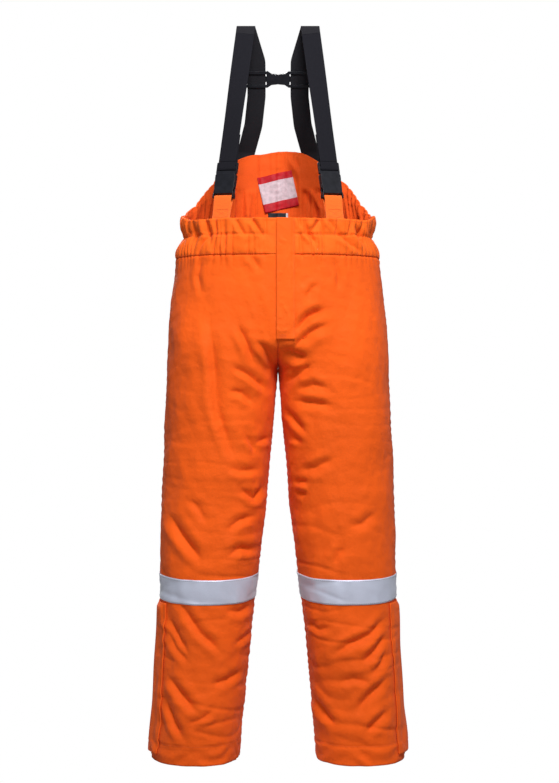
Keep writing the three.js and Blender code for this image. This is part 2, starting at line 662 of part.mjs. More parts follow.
function tab() {
  const seat = WEBBING / 2 + GAP / 2;
  const slotFoot = socketFoot + BAR;
  const over = slotFoot + GAP + WEBBING;
  return ribbon(flatRoute([
    [-seat, 0], [-seat, socketFoot - 26], [-loopOut, socketFoot - 4], [-loopOut, slotFoot + GAP],
    [-loopOut + WEBBING, over], [loopOut - WEBBING, over], [loopOut, slotFoot + GAP],
    [loopOut, socketFoot - 4], [seat, socketFoot - 26], [seat, 0],
  ]), WEBBING_WIDTH, WEBBING);
}

function strapEnd() {
  const under = middleBar - GAP - WEBBING;
  return ribbon(flatRoute([
    [-loopOut, ladderTop + 1], [-loopOut, middleBar - GAP], [-loopOut + WEBBING, under],
    [loopOut - WEBBING, under], [loopOut, middleBar - GAP], [loopOut, ladderTop + 2],
    [TAIL_Y, ladderTop + 18], [TAIL_Y, ladderTop + TAIL_LENGTH],
  ]), WEBBING_WIDTH, WEBBING);
}

const foldAcross = vector(1, 0, 0);
const backTop = (side) => vector(side * FOLD_X, FOLD_FLAT / 2 + FOLD_EASE, FOLD_Z - 3);
const anchorX = FOLD_X + 2;

// Where the back strap meets the yoke, x from the middle.
function onYoke(side, x, z) {
  return surface(side, turnAtX(x, z, -1), z, -GAP - WEBBING / 2 - YOKE_CLEARANCE);
}
const yokeTop = topEdge(turnAtX(anchorX, BACK_TOP_Z - 4, -1));
const strapMeet = (side) => onYoke(side, anchorX, yokeTop + 4);
const strapRun = backTop(1).distanceTo(strapMeet(1));

// A point of the back strap's straight run, at a distance from the shoulder fold.
function downBack(side, distance, x) {
  const at = backTop(side).lerp(strapMeet(side), distance / strapRun);
  return at.setX(side * x);
}

for (const side of [-1, 1]) {
  const name = sideName(side);
  const sewn = surface(side, turnAtX(TAB_X, BAND_TOP_Z, 1), BAND_TOP_Z, TAB_INSET);
  sewn.z -= TAB_SUNK;
  const shoulder = vector(side * FOLD_X, -FOLD_FLAT / 2 - FOLD_EASE, FOLD_Z - 3);
  const up = shoulder.clone().sub(sewn);
  const length = up.length();
  up.normalize();
  const across = vector(Math.cos(BRACE_YAW), side * Math.sin(BRACE_YAW), 0);
  across.addScaledVector(up, -across.dot(up)).normalize();
  const inwards = vector().crossVectors(up, across);
  const brace = new THREE.Group();
  brace.matrixAutoUpdate = false;
  brace.matrix.makeBasis(across, inwards, up).setPosition(sewn);
  garment.add(brace);

  add(`${name}_brace_tab`, tab(), orangeTape, brace);
  add(`${name}_buckle_socket`, socket(), blackPlastic, brace);
  add(`${name}_buckle_ladder`, ladder(), blackPlastic, brace);
  add(`${name}_buckle_prong_a`, prong(-1), blackPlastic, brace);
  add(`${name}_buckle_prong_b`, prong(1), blackPlastic, brace);
  add(`${name}_strap_end`, strapEnd(), webbingBlack, brace);

  // The front strap twists from the buckle's facing to the shoulder fold's.
  const toWorld = (y, z) => sewn.clone().addScaledVector(inwards, y).addScaledVector(up, z);
  const seamLow = length - 16;
  const strapFoot = ladderTop + 1 + GAP;
  const { lerp, smoothstep } = THREE.MathUtils;
  const frontRoute = steps(0, 1, 8).map((share) => ({
    at: toWorld(lerp(-loopOut, 0, share), lerp(strapFoot, seamLow, share)),
    across: across.clone().lerp(foldAcross, smoothstep(share, 0.2, 1)),
  }));
  add(`${name}_front_strap`, ribbon(frontRoute, WEBBING_WIDTH, WEBBING), webbingBlack);

  // Back strap: over the shoulder fold, straight down through the slider, then on to the high back.
  const apex = FOLD_Z - WEBBING / 2;
  const [sliderTop, sliderFoot] = [BACK_SLIDER_DROP - SLIDER_REACH, BACK_SLIDER_DROP + SLIDER_REACH];
  const free = [
    toWorld(0, seamLow + GAP), shoulder,
    vector(side * FOLD_X, -FOLD_FLAT / 2, apex), vector(side * FOLD_X, FOLD_FLAT / 2, apex),
    backTop(side), downBack(side, sliderTop, BACK_STRAP_X),
    downBack(side, BACK_SLIDER_DROP, BACK_STRAP_X), downBack(side, sliderFoot, BACK_STRAP_X),
    downBack(side, (strapRun + sliderFoot) / 2, BACK_STRAP_X + 7),
  ].map((at) => ({ at, across: foldAcross }));
  const sewnDown = [
    strapMeet(side), onYoke(side, anchorX + 3, yokeTop - BACK_ANCHOR_LENGTH / 2),
    onYoke(side, anchorX + 5, yokeTop - BACK_ANCHOR_LENGTH),
  ].map((at) => ({ at, across: vector(1, -side * 0.28, 0) }));
  const backStrap = ribbon([...free, ...sewnDown], WEBBING_WIDTH, WEBBING);
  add(`${name}_back_strap`, backStrap, backWebbingBlack);
}

// ---- Back slider, which both back straps pass through ----
function backSlider() {
  const [end, height, neck] = [SLIDER_SPAN / 2, SLIDER_HEIGHT / 2, SLIDER_NECK / 2];
  const slotHalf = WEBBING_WIDTH / 2 + 2;
  const [inner, outer] = [BACK_STRAP_X - slotHalf, BACK_STRAP_X + slotHalf];
  // The lower edge from end to end; the upper edge is the same turned over.
  const lower = [
    [-end, 4 - height], [4 - end, -height], [2 - inner, -height], [10 - inner, -neck - 1.5], [0, -neck],
    [inner - 10, -neck - 1.5], [inner - 2, -height], [end - 4, -height], [end, 4 - height],
  ];
  const body = outline([...lower, ...lower.map(([x, z]) => [-x, -z])]);
  const thick = SLIDER_THICK / 2;
  const strapRoom = WEBBING / 2 + GAP;
  const whole = solid(plate(body, -thick, thick));
  const slots = [[inner, outer], [-outer, -inner]];
  const [deep, tall] = [thick + 1, height + 1];
  const openings = slots.map(([x0, x1]) => block(x0, x1, -deep, deep, -tall, tall));
  const bars = slots.flatMap(([x0, x1]) => [
    block(x0 - 1, x1 + 1, -thick, -strapRoom, height - 6, height),
    block(x0 - 1, x1 + 1, -thick, -strapRoom, -height, 6 - height),
    block(x0 - 1, x1 + 1, strapRoom, thick, -6, 6),
  ]);
  return geometryOf(bars.reduce((left, bar) => left.add(solid(bar)), cut(whole, ...openings)));
}

const upStrap = backTop(1).sub(strapMeet(1)).setX(0).normalize();
const holder = new THREE.Group();
holder.matrixAutoUpdate = false;
holder.matrix.makeBasis(foldAcross, vector().crossVectors(upStrap, foldAcross), upStrap);
holder.matrix.setPosition(downBack(1, BACK_SLIDER_DROP, 0));
garment.add(holder);
add("back_slider", backSlider(), blackPlastic, holder);

// The origin goes under the middle of the whole garment.
const extent = new THREE.Box3().setFromObject(garment);
garment.position.y = -(extent.min.y + extent.max.y) / 2;

export default garment;
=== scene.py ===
"""Insulated high-visibility over-trousers with braces: cloth, trims and hardware round the frame.

Shapes are worked out in millimetres and stored in metres. The front faces -Y, +X is the wearer's
left, and side is -1 for the wearer's right and 1 for the left. turn is in degrees round a leg: 0 at
the side seam, positive to the front, negative to the back, and 180 or -180 at the inseam, which
above the crotch becomes the centre seam.
"""

import json
import math

import bmesh
import bpy
import numpy as np
from mathutils import Matrix, Vector

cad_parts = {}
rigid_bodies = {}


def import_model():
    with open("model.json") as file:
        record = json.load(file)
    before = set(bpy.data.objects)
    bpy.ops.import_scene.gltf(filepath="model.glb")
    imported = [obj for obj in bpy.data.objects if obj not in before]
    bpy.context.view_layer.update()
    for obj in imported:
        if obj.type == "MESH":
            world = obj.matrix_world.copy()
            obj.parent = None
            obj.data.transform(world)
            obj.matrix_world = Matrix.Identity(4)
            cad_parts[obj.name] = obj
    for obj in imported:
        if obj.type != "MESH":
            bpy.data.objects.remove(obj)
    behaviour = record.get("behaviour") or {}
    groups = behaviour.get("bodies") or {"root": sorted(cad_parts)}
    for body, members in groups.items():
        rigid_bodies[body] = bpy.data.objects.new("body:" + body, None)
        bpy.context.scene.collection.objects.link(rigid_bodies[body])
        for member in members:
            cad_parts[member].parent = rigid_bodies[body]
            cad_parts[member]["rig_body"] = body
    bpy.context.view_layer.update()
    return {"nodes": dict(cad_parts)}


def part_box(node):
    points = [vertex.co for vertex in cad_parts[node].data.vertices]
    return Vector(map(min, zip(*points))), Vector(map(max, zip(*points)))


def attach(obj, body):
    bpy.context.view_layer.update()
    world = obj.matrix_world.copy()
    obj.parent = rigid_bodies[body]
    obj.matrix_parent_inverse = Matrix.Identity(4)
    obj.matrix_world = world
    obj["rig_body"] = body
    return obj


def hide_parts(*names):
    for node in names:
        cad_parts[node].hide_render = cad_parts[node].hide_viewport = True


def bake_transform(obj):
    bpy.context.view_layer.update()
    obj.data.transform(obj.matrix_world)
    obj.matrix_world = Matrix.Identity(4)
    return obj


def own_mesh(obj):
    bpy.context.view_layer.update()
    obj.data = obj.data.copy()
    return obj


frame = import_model()
MM = 0.001
SIDES = {-1: "right", 1: "left"}

# ---- Heights of the garment's seams ----
FORK_Z = 787
CROTCH_CURVE = 60
WAIST_SEAM_Z = 1012
ELASTIC_Z = 1052
BAND_TOP_Z = 1084
SIDE_TOP_Z = 1100
BACK_TOP_Z = 1250
FOLD_Z = 1490
HEM_Z = 38
CALF_Z = 318
FLY_FOOT_Z = 850
REFLECTIVE_Z = 351
REFLECTIVE_DIP = 7

# ---- Half widths and depths at those heights ----
HALF = [(0, 90), (318, 96.5), (517, 108), (787, 113), (880, 110.5), (1012, 103.5),
        (1032, 101.5), (1052, 93), (1084, 99), (1250, 75)]
CENTRE = [(0, 168), (318, 143.5), (517, 131)] + HALF[3:]
FRONT = [(0, 98), (318, 98), (517, 103), (787, 117), (850, 122), (1084, 120)]
BACK = [(0, 96), (318, 98), (517, 104), (787, 124), (880, 138), (1012, 124), (1052, 112),
        (1084, 121), (1250, 128)]
ROUNDNESS = 0.87
SOFTEN = 9  # how far a change of slope is rounded off

# ---- Layers, inwards from the outside ----
SHELL = 2.4
BAND = 2
ELASTIC_INSET = 3.8
ELASTIC = 1.5
FACING_INSET = 5.7
FACING = 1.2
LINING_INSET = 10
LINING = 1.5
LABEL_INSET = 8.4
LABEL = 0.4
CARE_LABEL_Z = FORK_Z + 380
CARE_LABEL_TILT = math.radians(13)
SIZE_LABEL_Z = FORK_Z + 321
FLAP = 1.8
FLAP_STANDOFF = 3.2

# ---- Openings ----
FLY_ZIP_X = 6
ZIP_OPENING = 12
FLY_FLAP = (-3, 33)
FLY_CLEAR = 17.8
ANKLE_SLIT = 5.5
STORM_FLAP = (-6, 36)
STORM_FLAP_FOOT_Z = 15
TAPE_INSET = 4.2
TAPE_WIDTH = 13
TEETH_MIDDLE = 4.6
TAPE = 0.8
FLY_GUARD_INSET = 11.8
FLY_HINGE_Z = 965
STORM_HINGE_Z = 166

# ---- Braces ----
WEBBING_WIDTH = 38
WEBBING = 1.4
TAB_X = 121
TAB_SUNK = 12
TAB_INSET = 10
FOLD_X = 65.5
FOLD_FLAT = 10
FOLD_EASE = 2
SHOULDER_Z = FOLD_Z - 3
STRAP_SEAM_DROP = 16  # how far below the shoulder the front strap meets the back strap
BAR_GAP = 0.3
BRACE_YAW = math.radians(23)
SOCKET_FOOT = 56
SLOT_FOOT = SOCKET_FOOT + 4
LADDER_TOP = 131.3
MIDDLE_BAR = 118.3
LOOP_OUT = 4.0
TAIL_Y = 0.5
TAIL_LENGTH = 60
BACK_STRAP_X = 45
BACK_SLIDER_DROP = 105
BACK_SLIDER_REACH = 36
BACK_ANCHOR_LENGTH = 66

# The frame stands with its middle on the origin, which moves the garment's own middle.
HEM_FACING_INSET = 3.3
HEM_FACING_FRONT = FRONT[0][1] - HEM_FACING_INSET
SHIFT = np.array([0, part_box("right_hem_facing")[0].y / MM + HEM_FACING_FRONT, 0])


# ---- Small helpers ----
def arrays(*values):
    return np.broadcast_arrays(*(np.asarray(value, float) for value in values))


def smoothstep(value, low, high):
    share = np.clip((value - low) / (high - low), 0, 1)
    return share * share * (3 - 2 * share)


def bell(value, width):
    return np.exp(-((value / width) ** 2))


def mix(a, b, share):
    return a + (b - a) * share


def along(profile, z, soften):
    heights, values = zip(*profile)
    offsets = (-1, -0.5, 0, 0.5, 1) if soften else (0,)
    return np.mean([np.interp(z + k * soften, heights, values) for k in offsets], axis=0)


def squared(value):
    return np.sign(value) * np.abs(value) ** ROUNDNESS


# ---- The body's surface ----
def body(side, turn, z, inset=0.0, soften=SOFTEN):
    """Points of the smooth outside of the garment, or of a layer inset into it."""
    side, turn, z, inset = arrays(side, turn, z, inset)
    over = np.abs(turn) > 180
    side = np.where(over, -side, side)
    turn = np.where(over, np.sign(turn) * (360 - np.abs(turn)), turn)
    angle = np.radians(np.abs(turn))
    half = along(HALF, z, soften)
    centre = along(CENTRE, z, soften)
    depth = np.where(turn >= 0, along(FRONT, z, soften), along(BACK, z, soften)) - inset
    leg = [centre + (half - inset) * squared(np.cos(angle)), depth * squared(np.sin(angle))]
    inner = angle > math.pi / 2
    seat = [np.where(inner, centre * (2 - 2 * angle / math.pi), leg[0]),
            np.where(inner, depth, leg[1])]
    waist = [(2 * half - inset) * squared(np.cos(angle / 2)), depth * squared(np.sin(angle / 2))]
    towards_waist = smoothstep(z, FORK_Z, WAIST_SEAM_Z)
    closed = np.clip((z - FORK_Z) / CROTCH_CURVE, 0, 1)
    joined = (1 - (1 - closed) ** 2) ** 0.9
    x, y = (mix(leg[i], mix(seat[i], waist[i], towards_waist), joined) for i in (0, 1))
    return np.stack([side * x, np.where(turn >= 0, -y, y), z], axis=-1)


def outward(side, turn, z):
    """The direction away from the body at the same places."""
    turn, z = np.asarray(turn, float), np.asarray(z, float)
    limit = np.where(z < FORK_Z, 180, 400)
    ahead = body(side, np.minimum(turn + 0.25, limit), z)
    behind = body(side, np.maximum(turn - 0.25, -limit), z)
    up = body(side, turn, z + 0.6) - body(side, turn, z - 0.6)
    normal = np.cross(ahead - behind, up) * -np.asarray(side, float)[..., None]
    return normal / np.linalg.norm(normal, axis=-1, keepdims=True)


def turn_at(x, z, facing):
    """The turn that lies x from the middle, on the front (facing 1) or the back (facing -1)."""
    x, z = arrays(x, z)
    near, far = np.zeros(x.shape), np.full(x.shape, 180.0)
    for _ in range(40):
        middle = (near + far) / 2
        outside = np.abs(body(1, middle * facing, z, 0, 0)[..., 0]) > x
        near, far = np.where(outside, middle, near), np.where(outside, far, middle)
    return (near + far) / 2 * facing


def front_turn(side, x, z):
    """The turn on that side's front at x, past 180 where x lies across the middle."""
    found = turn_at(np.abs(x), z, 1)
    return np.where(side * x > 0, found, 360 - found)


def top_edge(turn):
    back = mix(SIDE_TOP_Z, BACK_TOP_Z, smoothstep(-turn, 0, 150))
    front = mix(SIDE_TOP_Z, BAND_TOP_Z, smoothstep(turn, 0, 70))
    return np.where(turn < 0, back, front)


def wander(side, turn):
    """How far the high back's cut edge strays up or down."""
    from_middle = side * (180 + turn)
    return np.where(turn < 0, 4 * np.sin(from_middle / 15 + 0.9) * smoothstep(-turn, 0, 30), 0)


# ---- How the cloth hangs ----
DEEPEN = 1.45  # times every listed fold's depth


def ripple(points, length, seed, stretch=(1, 1, 1), count=9):
    """A smooth random field, mostly within 1 of zero, with swells of about that length."""
    rng = np.random.default_rng(seed)
    ways = rng.normal(size=(count, 3))
    ways /= np.linalg.norm(ways, axis=1, keepdims=True)
    lengths = length * rng.uniform(0.75, 1.4, count)
    phases = rng.uniform(0, 2 * math.pi, count)
    waves = np.sin(2 * math.pi * (points * stretch) @ ways.T / lengths + phases)
    return waves.sum(axis=-1) / math.sqrt(count)


# Folds as (depth, width, line), each line in x and z across the front or the back.
FRONT_FOLDS = [
    # the wearer's right thigh and knee
    (5.5, 15, [(-136, 887), (-127, 804), (-120, 704), (-96, 637), (-81, 600)]),
    (5, 12, [(-79, 873), (-61, 837), (-48, 801)]),
    (4.5, 11, [(-43, 842), (-28, 826), (-8, 797)]),
    (5, 11, [(-86, 790), (-55, 774), (-23, 747)]),
    (4.5, 11, [(-95, 745), (-68, 738), (-48, 718)]),
    (4, 10, [(-61, 656), (-43, 624)]),
    (3.5, 10, [(-43, 641), (-18, 649)]),
    (4.5, 12, [(-96, 592), (-75, 585), (-39, 587)]),
    (5, 11, [(-75, 551), (-47, 529), (-28, 551)]),
    (4.5, 12, [(-99, 470), (-75, 488), (-47, 494)]),
    (5.5, 13, [(-99, 417), (-75, 431), (-43, 423)]),
    (7, 15, [(-215, 494), (-194, 459), (-166, 427), (-152, 410)]),
    (3.5, 12, [(-173, 529), (-155, 508), (-142, 484)]),
    # the wearer's left thigh and knee
    (7, 14, [(93, 905), (59, 889), (36, 860)]),
    (7, 13, [(91, 873), (63, 858), (32, 830)]),
    (3, 10, [(79, 952), (68, 946), (57, 930)]),
    (7, 13, [(8, 824), (30, 814), (57, 808)]),
    (4, 11, [(68, 797), (41, 779), (14, 760)]),
    (4, 12, [(97, 749), (70, 756), (41, 747)]),
    (4.5, 12, [(106, 715), (79, 718), (35, 724)]),
    (5.5, 10, [(20, 705), (34, 684), (50, 665)]),
    (3.5, 9, [(28, 652), (45, 641)]),
    (4.5, 13, [(108, 610), (73, 592), (45, 585)]),
    (4, 10, [(31, 560), (59, 564)]),
    (3.5, 9, [(55, 537), (34, 543)]),
    (3.5, 13, [(129, 435), (111, 403)]),
    (3.5, 14, [(190, 500), (165, 480), (140, 476)]),
    # the wearer's right calf
    (5.5, 12, [(-196, 321), (-156, 266), (-112, 225)]),
    (6, 12, [(-222, 289), (-196, 248), (-176, 220)]),
    (5, 11, [(-222, 262), (-205, 232), (-180, 205)]),
    (6, 13, [(-222, 173), (-196, 145), (-161, 107)]),
    (6, 12, [(-228, 127), (-210, 87), (-190, 55)]),
    (4.5, 12, [(-130, 162), (-95, 168), (-69, 182)]),
    (4, 11, [(-176, 84), (-147, 96), (-130, 110)]),
    (4, 12, [(-101, 306), (-72, 303), (-52, 312)]),
    (3.5, 11, [(-84, 237), (-61, 251), (-50, 256)]),
    # the wearer's left calf
    (5.5, 12, [(215, 290), (185, 261), (141, 243), (110, 220)]),
    (6, 12, [(216, 255), (191, 226), (168, 208)]),
    (5, 11, [(216, 226), (206, 202), (191, 188)]),
    (6, 13, [(216, 170), (185, 144), (156, 112)]),
    (5.5, 12, [(217, 106), (191, 83), (177, 68)]),
    (6, 12, [(70, 126), (89, 100), (109, 80)]),
    (3.5, 11, [(54, 279), (80, 267), (103, 276)]),
    (3.5, 12, [(121, 167), (150, 173), (179, 167)]),
    # waistband
    (4, 8, [(-142, 1086), (-133, 1056), (-131, 1029)]),
    (3, 7, [(-106, 1086), (-104, 1021)]),
    (3.5, 7, [(-85, 1086), (-73, 1062), (-63, 1048)]),
    (5, 8, [(-54, 1086), (-40, 1064), (-29, 1048)]),
    (5, 8, [(51, 1086), (57, 1056), (71, 1040), (77, 1026)]),
    (3, 7, [(40, 1086), (46, 1064)]),
    (4, 8, [(87, 1086), (65, 1056)]),
    (3.5, 7, [(98, 1086), (112, 1062)]),
    (4, 8, [(114, 1056), (140, 1037), (160, 1022)]),
    (5.5, 9, [(150, 1076), (163, 1045), (177, 1031)]),
    (5, 9, [(-168, 1086), (-160, 1052), (-170, 1024)]),
    (3.5, 9, [(-54, 1010), (-37, 984)]),
    (3, 9, [(110, 1010), (120, 972), (118, 944)]),
    (3, 9, [(-150, 1010), (-158, 972), (-152, 936)]),
]
BACK_FOLDS = [
    # under the seat
    (7, 15, [(-150, 848), (-100, 822), (-40, 818), (-12, 830)]),
    (7, 15, [(148, 842), (95, 818), (36, 815), (12, 828)]),
    (5, 13, [(-120, 790), (-80, 772), (-30, 776)]),
    (5, 13, [(128, 786), (84, 766), (34, 770)]),
    (4, 16, [(-60, 960), (-84, 900), (-72, 850)]),
    (4, 16, [(66, 958), (90, 905), (76, 852)]),
    # behind the knees
    (6, 13, [(-205, 560), (-150, 540), (-90, 548), (-45, 566)]),
    (6.5, 13, [(-200, 512), (-145, 500), (-84, 508), (-50, 520)]),
    (4.5, 12, [(-180, 474), (-130, 462), (-80, 470)]),
    (6, 13, [(206, 566), (150, 546), (92, 552), (48, 570)]),
    (6.5, 13, [(200, 520), (140, 504), (82, 512), (52, 526)]),
    (4.5, 12, [(178, 480), (128, 466), (82, 474)]),
    (4, 16, [(-150, 740), (-128, 690), (-136, 620)]),
    (4, 16, [(150, 735), (130, 680), (140, 612)]),
    # above the hems
    (6, 13, [(-228, 250), (-190, 214), (-130, 204), (-90, 222)]),
    (6, 13, [(-226, 180), (-180, 148), (-120, 140)]),
    (6, 13, [(-220, 96), (-176, 78), (-120, 88), (-88, 104)]),
    (6, 13, [(228, 256), (188, 220), (132, 210), (92, 226)]),
    (6, 13, [(226, 186), (178, 154), (122, 146)]),
    (6, 13, [(222, 100), (178, 82), (124, 92), (90, 108)]),
    # down the high back
    (5, 12, [(-56, 1250), (-58, 1180), (-66, 1110), (-62, 1064)]),
    (4, 12, [(-104, 1200), (-110, 1130), (-104, 1064)]),
    (5.5, 12, [(14, 1250), (40, 1214), (66, 1177), (94, 1128), (98, 1070)]),
    (4, 11, [(34, 1250), (68, 1226), (104, 1200)]),
    (3.5, 11, [(134, 1160), (126, 1110), (134, 1064)]),
    (3, 12, [(-24, 1120), (-30, 1090), (-26, 1060)]),
    (3, 12, [(52, 1110), (46, 1086), (52, 1060)]),
]

def marks_along(points):
    """The length of a line from its start to each of its points."""
    return np.concatenate([[0], np.cumsum(np.linalg.norm(np.diff(points, axis=0), axis=1))])


def fold(x, z, depth, width, line):
    """A valley along the line with a soft ridge on each side, fading out at its ends."""
    line = np.array(line, float)
    steps, starts = np.diff(line, axis=0), marks_along(line)
    best = np.full(x.shape, np.inf)
    aside, share = np.zeros(x.shape), np.zeros(x.shape)
    for start, step, begun in zip(line[:-1], steps, starts):
        length = np.linalg.norm(step)
        dx, dz = x - start[0], z - start[1]
        t = np.clip((dx * step[0] + dz * step[1]) / length**2, 0, 1)
        away = np.hypot(dx - t * step[0], dz - t * step[1])
        closer = away < best
        best = np.where(closer, away, best)
        aside = np.where(closer, away * np.sign(dx * step[1] - dz * step[0]), aside)
        share = np.where(closer, (begun + t * length) / starts[-1], share)
    t = aside / width
    ends = smoothstep(np.minimum(share, 1 - share), -0.12, 0.3)
    shape = -np.exp(-np.abs(t) / 0.5) + 0.55 * bell(t - 1.15, 0.7) + 0.35 * bell(t + 1.4, 0.85)
    return DEEPEN * depth * ends * shape


def pinched(phase):
    """Rounded swells between sharp valleys, one for each pi of phase."""
    return 1 - 2.2 * np.exp(-2.6 * np.abs(np.sin(phase)))


def gathers(points, z):
    """Fine gathers over the elastic and looser folds in the heading above it."""
    around = np.arctan2(points[:, 0] / 198, -points[:, 1] / 120)
    fine = pinched(37 * around + 1.6 * ripple(points, 60, 11, (1, 1, 0.2)))
    fine *= 0.7 + 0.5 * ripple(points, 90, 12)
    loose = pinched(15 * around + 1.5 * ripple(points, 110, 13, (1, 1, 0.25)))
    channel = np.exp(-np.maximum(WAIST_SEAM_Z - z, 0) / 14)
    heading = smoothstep(z, ELASTIC_Z - 6, ELASTIC_Z + 8) * (1 - 0.6 * smoothstep(z, 1110, 1230))
    between = np.clip((z - WAIST_SEAM_Z) / (ELASTIC_Z - WAIST_SEAM_Z), 0, 1)
    swell = 1.2 * np.sin(np.pi * between) ** 0.6
    grooves = -1.8 * bell(z - WAIST_SEAM_Z, 2.4) - 2.2 * bell(z - ELASTIC_Z, 2.6)
    over_elastic = channel * (2.9 * fine * (1 - 0.6 * heading) + 0.8 * loose)
    return over_elastic + 2.6 * loose * heading + swell + grooves


def drape(turn, z, points, zips=True):
    """How far the cloth stands out from its smooth shape; zips says if the zips hold it flat."""
    x = points[:, 0]
    total = 1.7 * ripple(points, 190, 1) + 1.0 * ripple(points, 75, 2) + 0.4 * ripple(points, 26, 3)

    # slack creases across the legs, fullest at the calves
    slack = ripple(points, 52, 4, (0.32, 0.32, 1)) + 0.5 * ripple(points, 160, 5)
    leg = 1 - smoothstep(z, 840, 960)
    calf = mix(1.0, 0.25, smoothstep(z, 300, 620))
    total += leg * calf * (1.0 - 2.4 * bell(slack, 0.36)) * (0.75 + 0.45 * ripple(points, 230, 6))
    total -= 3.0 * (1 - smoothstep(z, 250, 420))

    # the listed folds
    on_front, on_back = smoothstep(turn, 2, 20), smoothstep(-turn, 2, 20)
    for folds, seen in ((FRONT_FOLDS, on_front), (BACK_FOLDS, on_back)):
        total += seen * sum(fold(x, z, *each) for each in folds)

    # puckers along the side seams, the inseams and the centre seam
    away_side = np.radians(np.abs(turn)) * along(HALF, z, 0)
    inseam = np.radians(180 - np.minimum(np.abs(turn), 180)) * along(HALF, z, 0)
    away_middle = mix(inseam, np.abs(x), smoothstep(z, FORK_Z, FORK_Z + CROTCH_CURVE))
    for away, beat in ((away_side, 17), (away_middle, 15)):
        pucker = np.sin(2 * math.pi * z / beat + 2 * ripple(points, 90, 7))
        total = total * (0.35 + 0.65 * smoothstep(away, 0, 22))
        total += 0.75 * pucker * bell(away, 9) - 1.1 * bell(away, 2.0)

    total += smoothstep(z, 960, 1000) * gathers(points, z)
    hem = 1 - smoothstep(z, HEM_Z - 8, HEM_Z + 10)
    total = total * (1 - 0.35 * hem) - 1.5 * bell(z - HEM_Z, 2.2)
    total += 1.1 * hem * np.sin(2 * math.pi * z / 30 + 3 * ripple(points, 70, 8, (1, 1, 0)))

    # flat under the sewn ends of the back straps
    sewn_on = bell(np.maximum(np.abs(np.abs(x) - FOLD_X - 5) - 21, 0), 8) * on_back
    total = total * (1 - sewn_on * smoothstep(z, 1162, 1176))
    if zips:
        fly = bell(np.maximum(np.abs(x - FLY_ZIP_X) - 16, 0), 12) * on_front
        fly *= smoothstep(z, FLY_FOOT_Z - 12, FLY_FOOT_Z + 8)
        ankle = bell(np.maximum(away_side - 14, 0), 12)
        ankle = ankle * (1 - smoothstep(z, CALF_Z - 6, CALF_Z + 20))
        total = total * (1 - np.maximum(fly, ankle))
    return total


def skin(side, turn, z, inset=0.0, proud=0.0):
    """Points of the hanging cloth and the directions out of it."""
    side, turn, z = (a.ravel() for a in arrays(side, turn, z))
    points, normal = body(side, turn, z), outward(side, turn, z)
    across_middle = (np.abs(turn) > 180) & (z >= FORK_Z)
    held = np.where(across_middle, np.sign(turn) * (360 - np.abs(turn)), turn)
    lift = drape(held, z, points) + proud
    return body(side, turn, z, inset) + normal * np.reshape(lift, (-1, 1)), normal


def on_leg(turn):
    """Turns past 180 go on round the same leg."""
    return np.where(turn > 180, turn - 360, turn)


# ---- Mesh makers ----
def metres(points):
    return (points + SHIFT) * MM


def made_mesh(bm, name):
    """The finished bmesh as a mesh."""
    mesh = bpy.data.meshes.new(name)
    bm.to_mesh(mesh)
    bm.free()
    return mesh


def placed(name, data):
    item = bpy.data.objects.new(name, data)
    bpy.context.scene.collection.objects.link(item)
    return item


def piece(name, mesh, rides_on, replaced, material, smooth=True):
    item = placed(name, mesh)
    mesh.materials.clear()
    mesh.materials.append(material)
    if smooth:
        mesh.shade_smooth()
    if rides_on:
        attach(item, rides_on)
    if replaced:
        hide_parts(replaced)
    return item


def cloth_mesh(name, columns, rows, place, flat, ring=False):
    """A sheet laid out by place(across, up), each from 0 to 1, with its flat size in its UV map."""
    bm = bmesh.new()
    bmesh.ops.create_grid(bm, x_segments=columns, y_segments=rows, size=0.5)
    mesh = made_mesh(bm, name)
    raw = np.zeros(len(mesh.vertices) * 3)
    mesh.vertices.foreach_get("co", raw)
    across, up = raw.reshape(-1, 3)[:, 0] + 0.5, raw.reshape(-1, 3)[:, 1] + 0.5
    points, normals = place(across, up)
    mesh.vertices.foreach_set("co", metres(points).astype(np.float32).ravel())
    corners = np.zeros(len(mesh.loops), np.int32)
    mesh.loops.foreach_get("vertex_index", corners)
    layer = mesh.uv_layers.new(name="UVMap")
    laid = np.stack([across[corners] * flat[0], up[corners] * flat[1]], axis=-1)
    layer.data.foreach_set("uv", laid.astype(np.float32).ravel())
    mesh.update()
    facing = sum(face.normal.dot(Vector(normals[face.vertices[0]])) for face in mesh.polygons)
    if facing < 0:
        mesh.flip_normals()
    if ring:
        bm = bmesh.new()
        bm.from_mesh(mesh)
        bmesh.ops.remove_doubles(bm, verts=bm.verts, dist=1e-5)
        bm.to_mesh(mesh)
        bm.free()
    return mesh


def round_edges(item, width, segments, degrees):
    edge = item.modifiers.new("edge", "BEVEL")
    edge.width = width * MM
    edge.segments = segments
    edge.limit_method = "ANGLE"
    edge.angle_limit = math.radians(degrees)


def thicken(item, thickness, offset=-1.0):
    solid = item.modifiers.new("thickness", "SOLIDIFY")
    solid.thickness = thickness * MM
    solid.offset = offset


def cloth(node_name, columns, rows, place, flat, thickness, material,
          rides_on="garment", ring=False, title=None):
    name = title or f"{node_name}_cloth"
    mesh = cloth_mesh(name, columns, rows, place, flat, ring)
    item = piece(name, mesh, rides_on, node_name, material)
    thicken(item, thickness)
    return item


